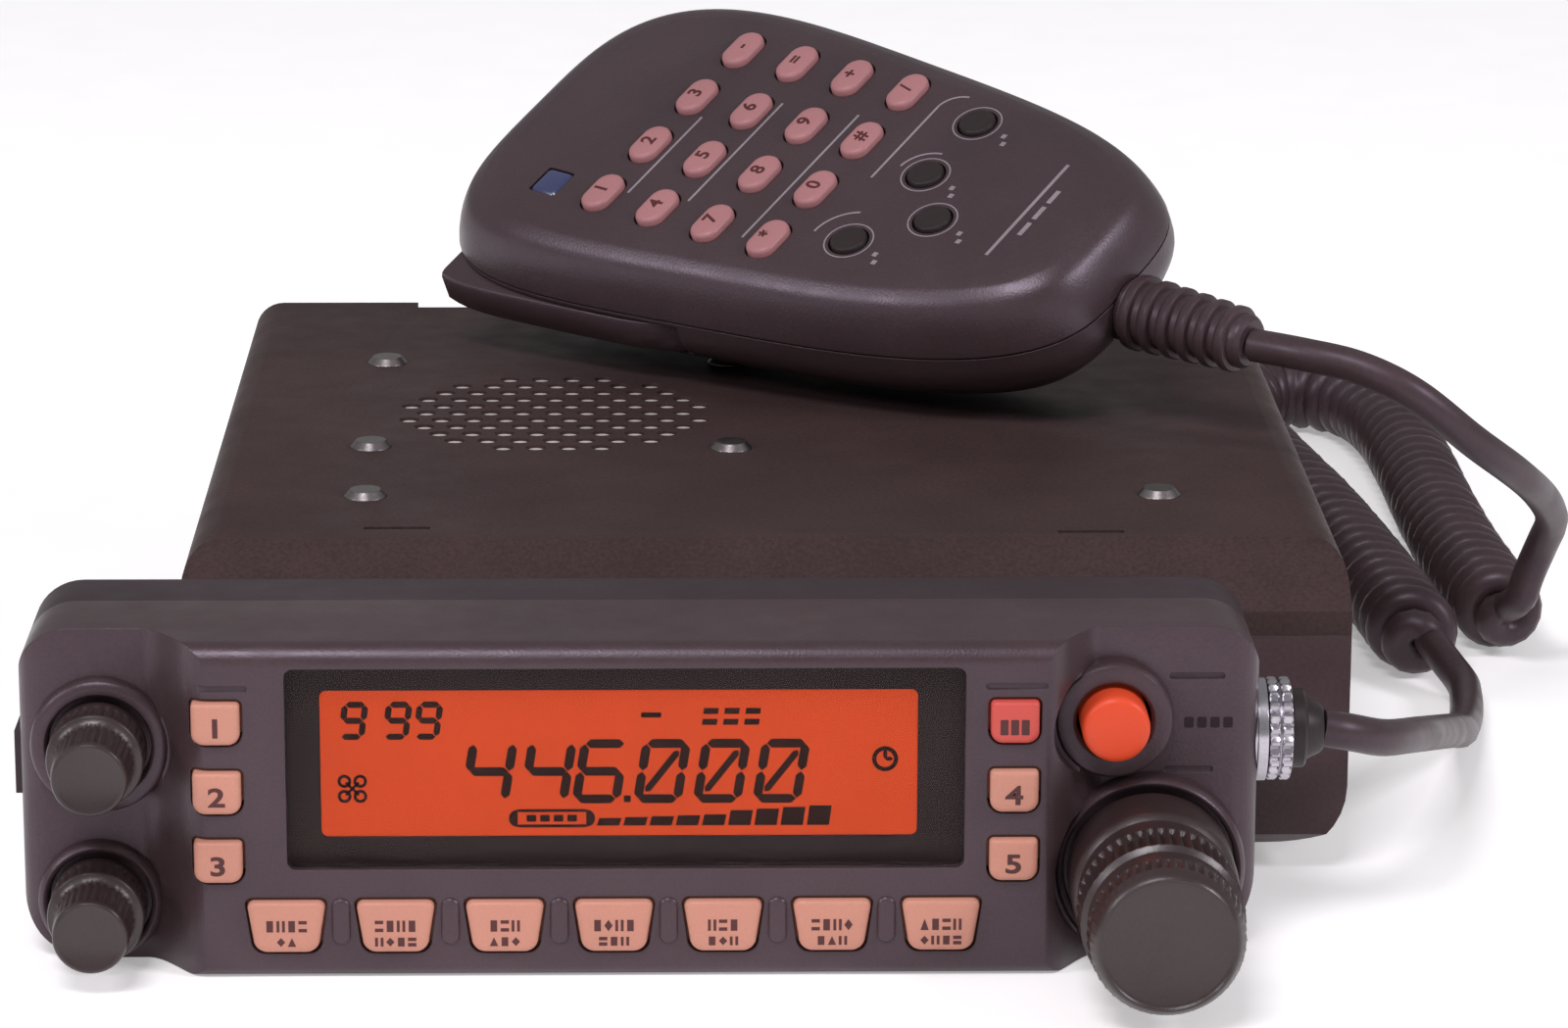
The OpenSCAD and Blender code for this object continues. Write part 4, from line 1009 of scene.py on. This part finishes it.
def make_knobs():
    dial = [
        (0.01, 0.3), (7.1, 0.3), (7.35, 0.2), (7.55, 0), (7.75, 0), (7.95, 0.15), (8.2, 0.55), (8.7, 1.5, 0),
        (8.85, 1.8, 0.4), (8.95, 3.7, 0.4), (8.9, 4.0, 0), (8.6, 4.3), (8.6, 7.1), (8.9, 7.4), (9.3, 7.7, 0),
        (9.4, 8.1, 0.8), (9.4, 13.1, 0.8), (9.3, 13.5, 0), (8.95, 14), (8.9, 17.3), (9.3, 17.7), (9.55, 18.1),
        (9.6, 18.5), (9.6, 25.2), (9.4, 25.4), (3, 25.5), (3, 33),
    ]  # fmt: skip
    place = towards_y(HEAD_X + DIAL[0], DIAL_FRONT_Y, DIAL[1])
    mesh = lathe("dial", dial, place, flutes=46)
    finish_mesh("main_dial_skin", mesh, "dial", "knob_plastic", replaces=["main_dial"])
    knob = [
        (0.01, 0.25), (3.3, 0.25), (3.6, 0.08), (3.9, 0), (4.15, 0.12), (4.3, 0.4), (4.35, 0.9),
        (4.4, 1.2, 0.25), (4.5, 6, 0.25), (4.5, 6.3), (4.9, 6.7), (5.4, 6.9), (5.55, 7.2),
        (5.55, 7.5, 0.25), (5.55, 10.4, 0.25), (5.55, 10.7), (5.55, 12), (3, 12.05), (3, 19),
    ]  # fmt: skip
    for name, at in (("volume", VOLUME), ("squelch", SQUELCH)):
        place = towards_y(HEAD_X + at[0], KNOB_FRONT_Y, at[1])
        mesh = lathe(name, knob, place, flutes=30)
        finish_mesh(name + "_knob_skin", mesh, name, "knob_plastic", replaces=[name + "_knob"])
    button = [
        (0.01, 0.0), (2.6, 0.03), (3.2, 0.12), (3.6, 0.3), (3.82, 0.6), (3.9, 1.0), (3.9, 8.4),
        (4.9, 8.45), (4.9, 9.2), (1.2, 9.25), (1.2, 10.8),
    ]  # fmt: skip
    place = towards_y(HEAD_X + POWER[0], COLLAR_Y - 3.6, POWER[1])
    mesh = lathe("power", button, place)
    finish_mesh("power_button_skin", mesh, "power", "power_key", replaces=["power_button"])


def make_plug():
    side = HEAD_X + HEAD_W / 2
    ring = [
        (4.75, 2.9), (4.75, 0), (5.5, 0), (5.85, 0.15, 0.1), (6, 0.3, 0.5), (6, 1.1, 0.5),
        (5.85, 1.25, 0.1), (5.5, 1.35), (5.5, 1.5), (5.85, 1.6, 0.1), (6, 1.75, 0.5), (6, 2.6, 0.5),
        (5.85, 2.75, 0.1), (5.3, 2.9),
    ]  # fmt: skip
    mesh = lathe("ring", ring, towards_x(side + 1.3, *SOCKET), flutes=24, closed=True)
    ring_piece = finish_mesh("plug_ring_skin", mesh, "main_unit", "nickel", replaces=["plug_ring"])
    body = [
        (3.4, -4.5), (3.4, 1.25), (4.6, 1.3), (4.6, 5.6), (4.3, 5.9), (3.7, 6), (3.5, 6.4),
        (2.9, 7.6), (2.5, 8),
    ]  # fmt: skip
    mesh = lathe("boot", body, towards_x(side, *SOCKET), steps=64)
    body_piece = finish_mesh("plug_boot", mesh, "main_unit", "black_plastic", replaces=["plug_body"])
    return body_piece, ring_piece


def make_grille_cloth():
    """The speaker's cloth, as it shows in each hole of the cover."""
    plugs = []
    for j in range(-7, 8):
        for i in range(-7, 8):
            x, y = GRILLE_PITCH * (i + (j % 2) / 2), GRILLE_PITCH * j * math.sqrt(3) / 2
            if math.hypot(x, y) < GRILLE_R - GRILLE_HOLE / 2:
                place = Matrix.Translation(Vector((GRILLE_AT[0] + x, GRILLE_AT[1] + y, 0)) * MM)
                r = GRILLE_HOLE / 2 - 0.02
                dome = [(r, 37.9), (r, 39.05), (r - 0.3, 39.17), (r - 0.7, 39.24), (0.01, 39.27)]
                plugs.append(lathe("plug", dome, place, steps=16))
    finish_mesh("speaker_cloth", joined("cloth", plugs), "main_unit", "speaker_black", "grille_cloth")


# ---- Everything together ----

set_camera()
set_world()
cord, cord_path = make_cord()
make_microphone()
make_head_shell()
make_display()
make_head_keys()
make_knobs()
plug_pieces = make_plug()
make_grille_cloth()
for node, body, slot in (
    ("chassis", "main_unit", "chassis_paint"),
    ("top_cover", "main_unit", "cover_paint"),
    ("cover_screws", "main_unit", "steel"),
    ("head_rear_shell", "main_unit", "rear_plastic"),
    ("speaker", "main_unit", "speaker_black"),
    ("fan_frame", "main_unit", "black_plastic"),
    ("fan_rotor", "fan", "black_plastic"),
    ("antenna_socket", "main_unit", "nickel"),
    ("rear_jacks", "main_unit", "black_plastic"),
    ("mic_socket", "main_unit", "nickel"),
    ("release_latch", "latch", "rear_plastic"),
    ("head_board", "main_unit", "board"),
    ("main_board", "main_unit", "board"),
    ("display_panel", "main_unit", "display_lit"),
):
    smooth_copy(node, body, slot)

FLOOR_HALF, FLOOR_Z = 3000, -0.05
corners = [(x * FLOOR_HALF, y * FLOOR_HALF, FLOOR_Z) for x, y in ((-1, -1), (1, -1), (1, 1), (-1, 1))]
floor = bpy.data.objects.new("floor", mesh_of("floor", corners, [(0, 1, 2, 3)]))
scene.collection.objects.link(floor)
floor.data.materials.append(
    surface(
        "floor",
        linear(244, 243, 243),
        0.7,
        specular=0.1,
        grain=0,
        vary=0.01,
        speckle=0,
        round_mm=0,
        glow=0.35,
    )
)
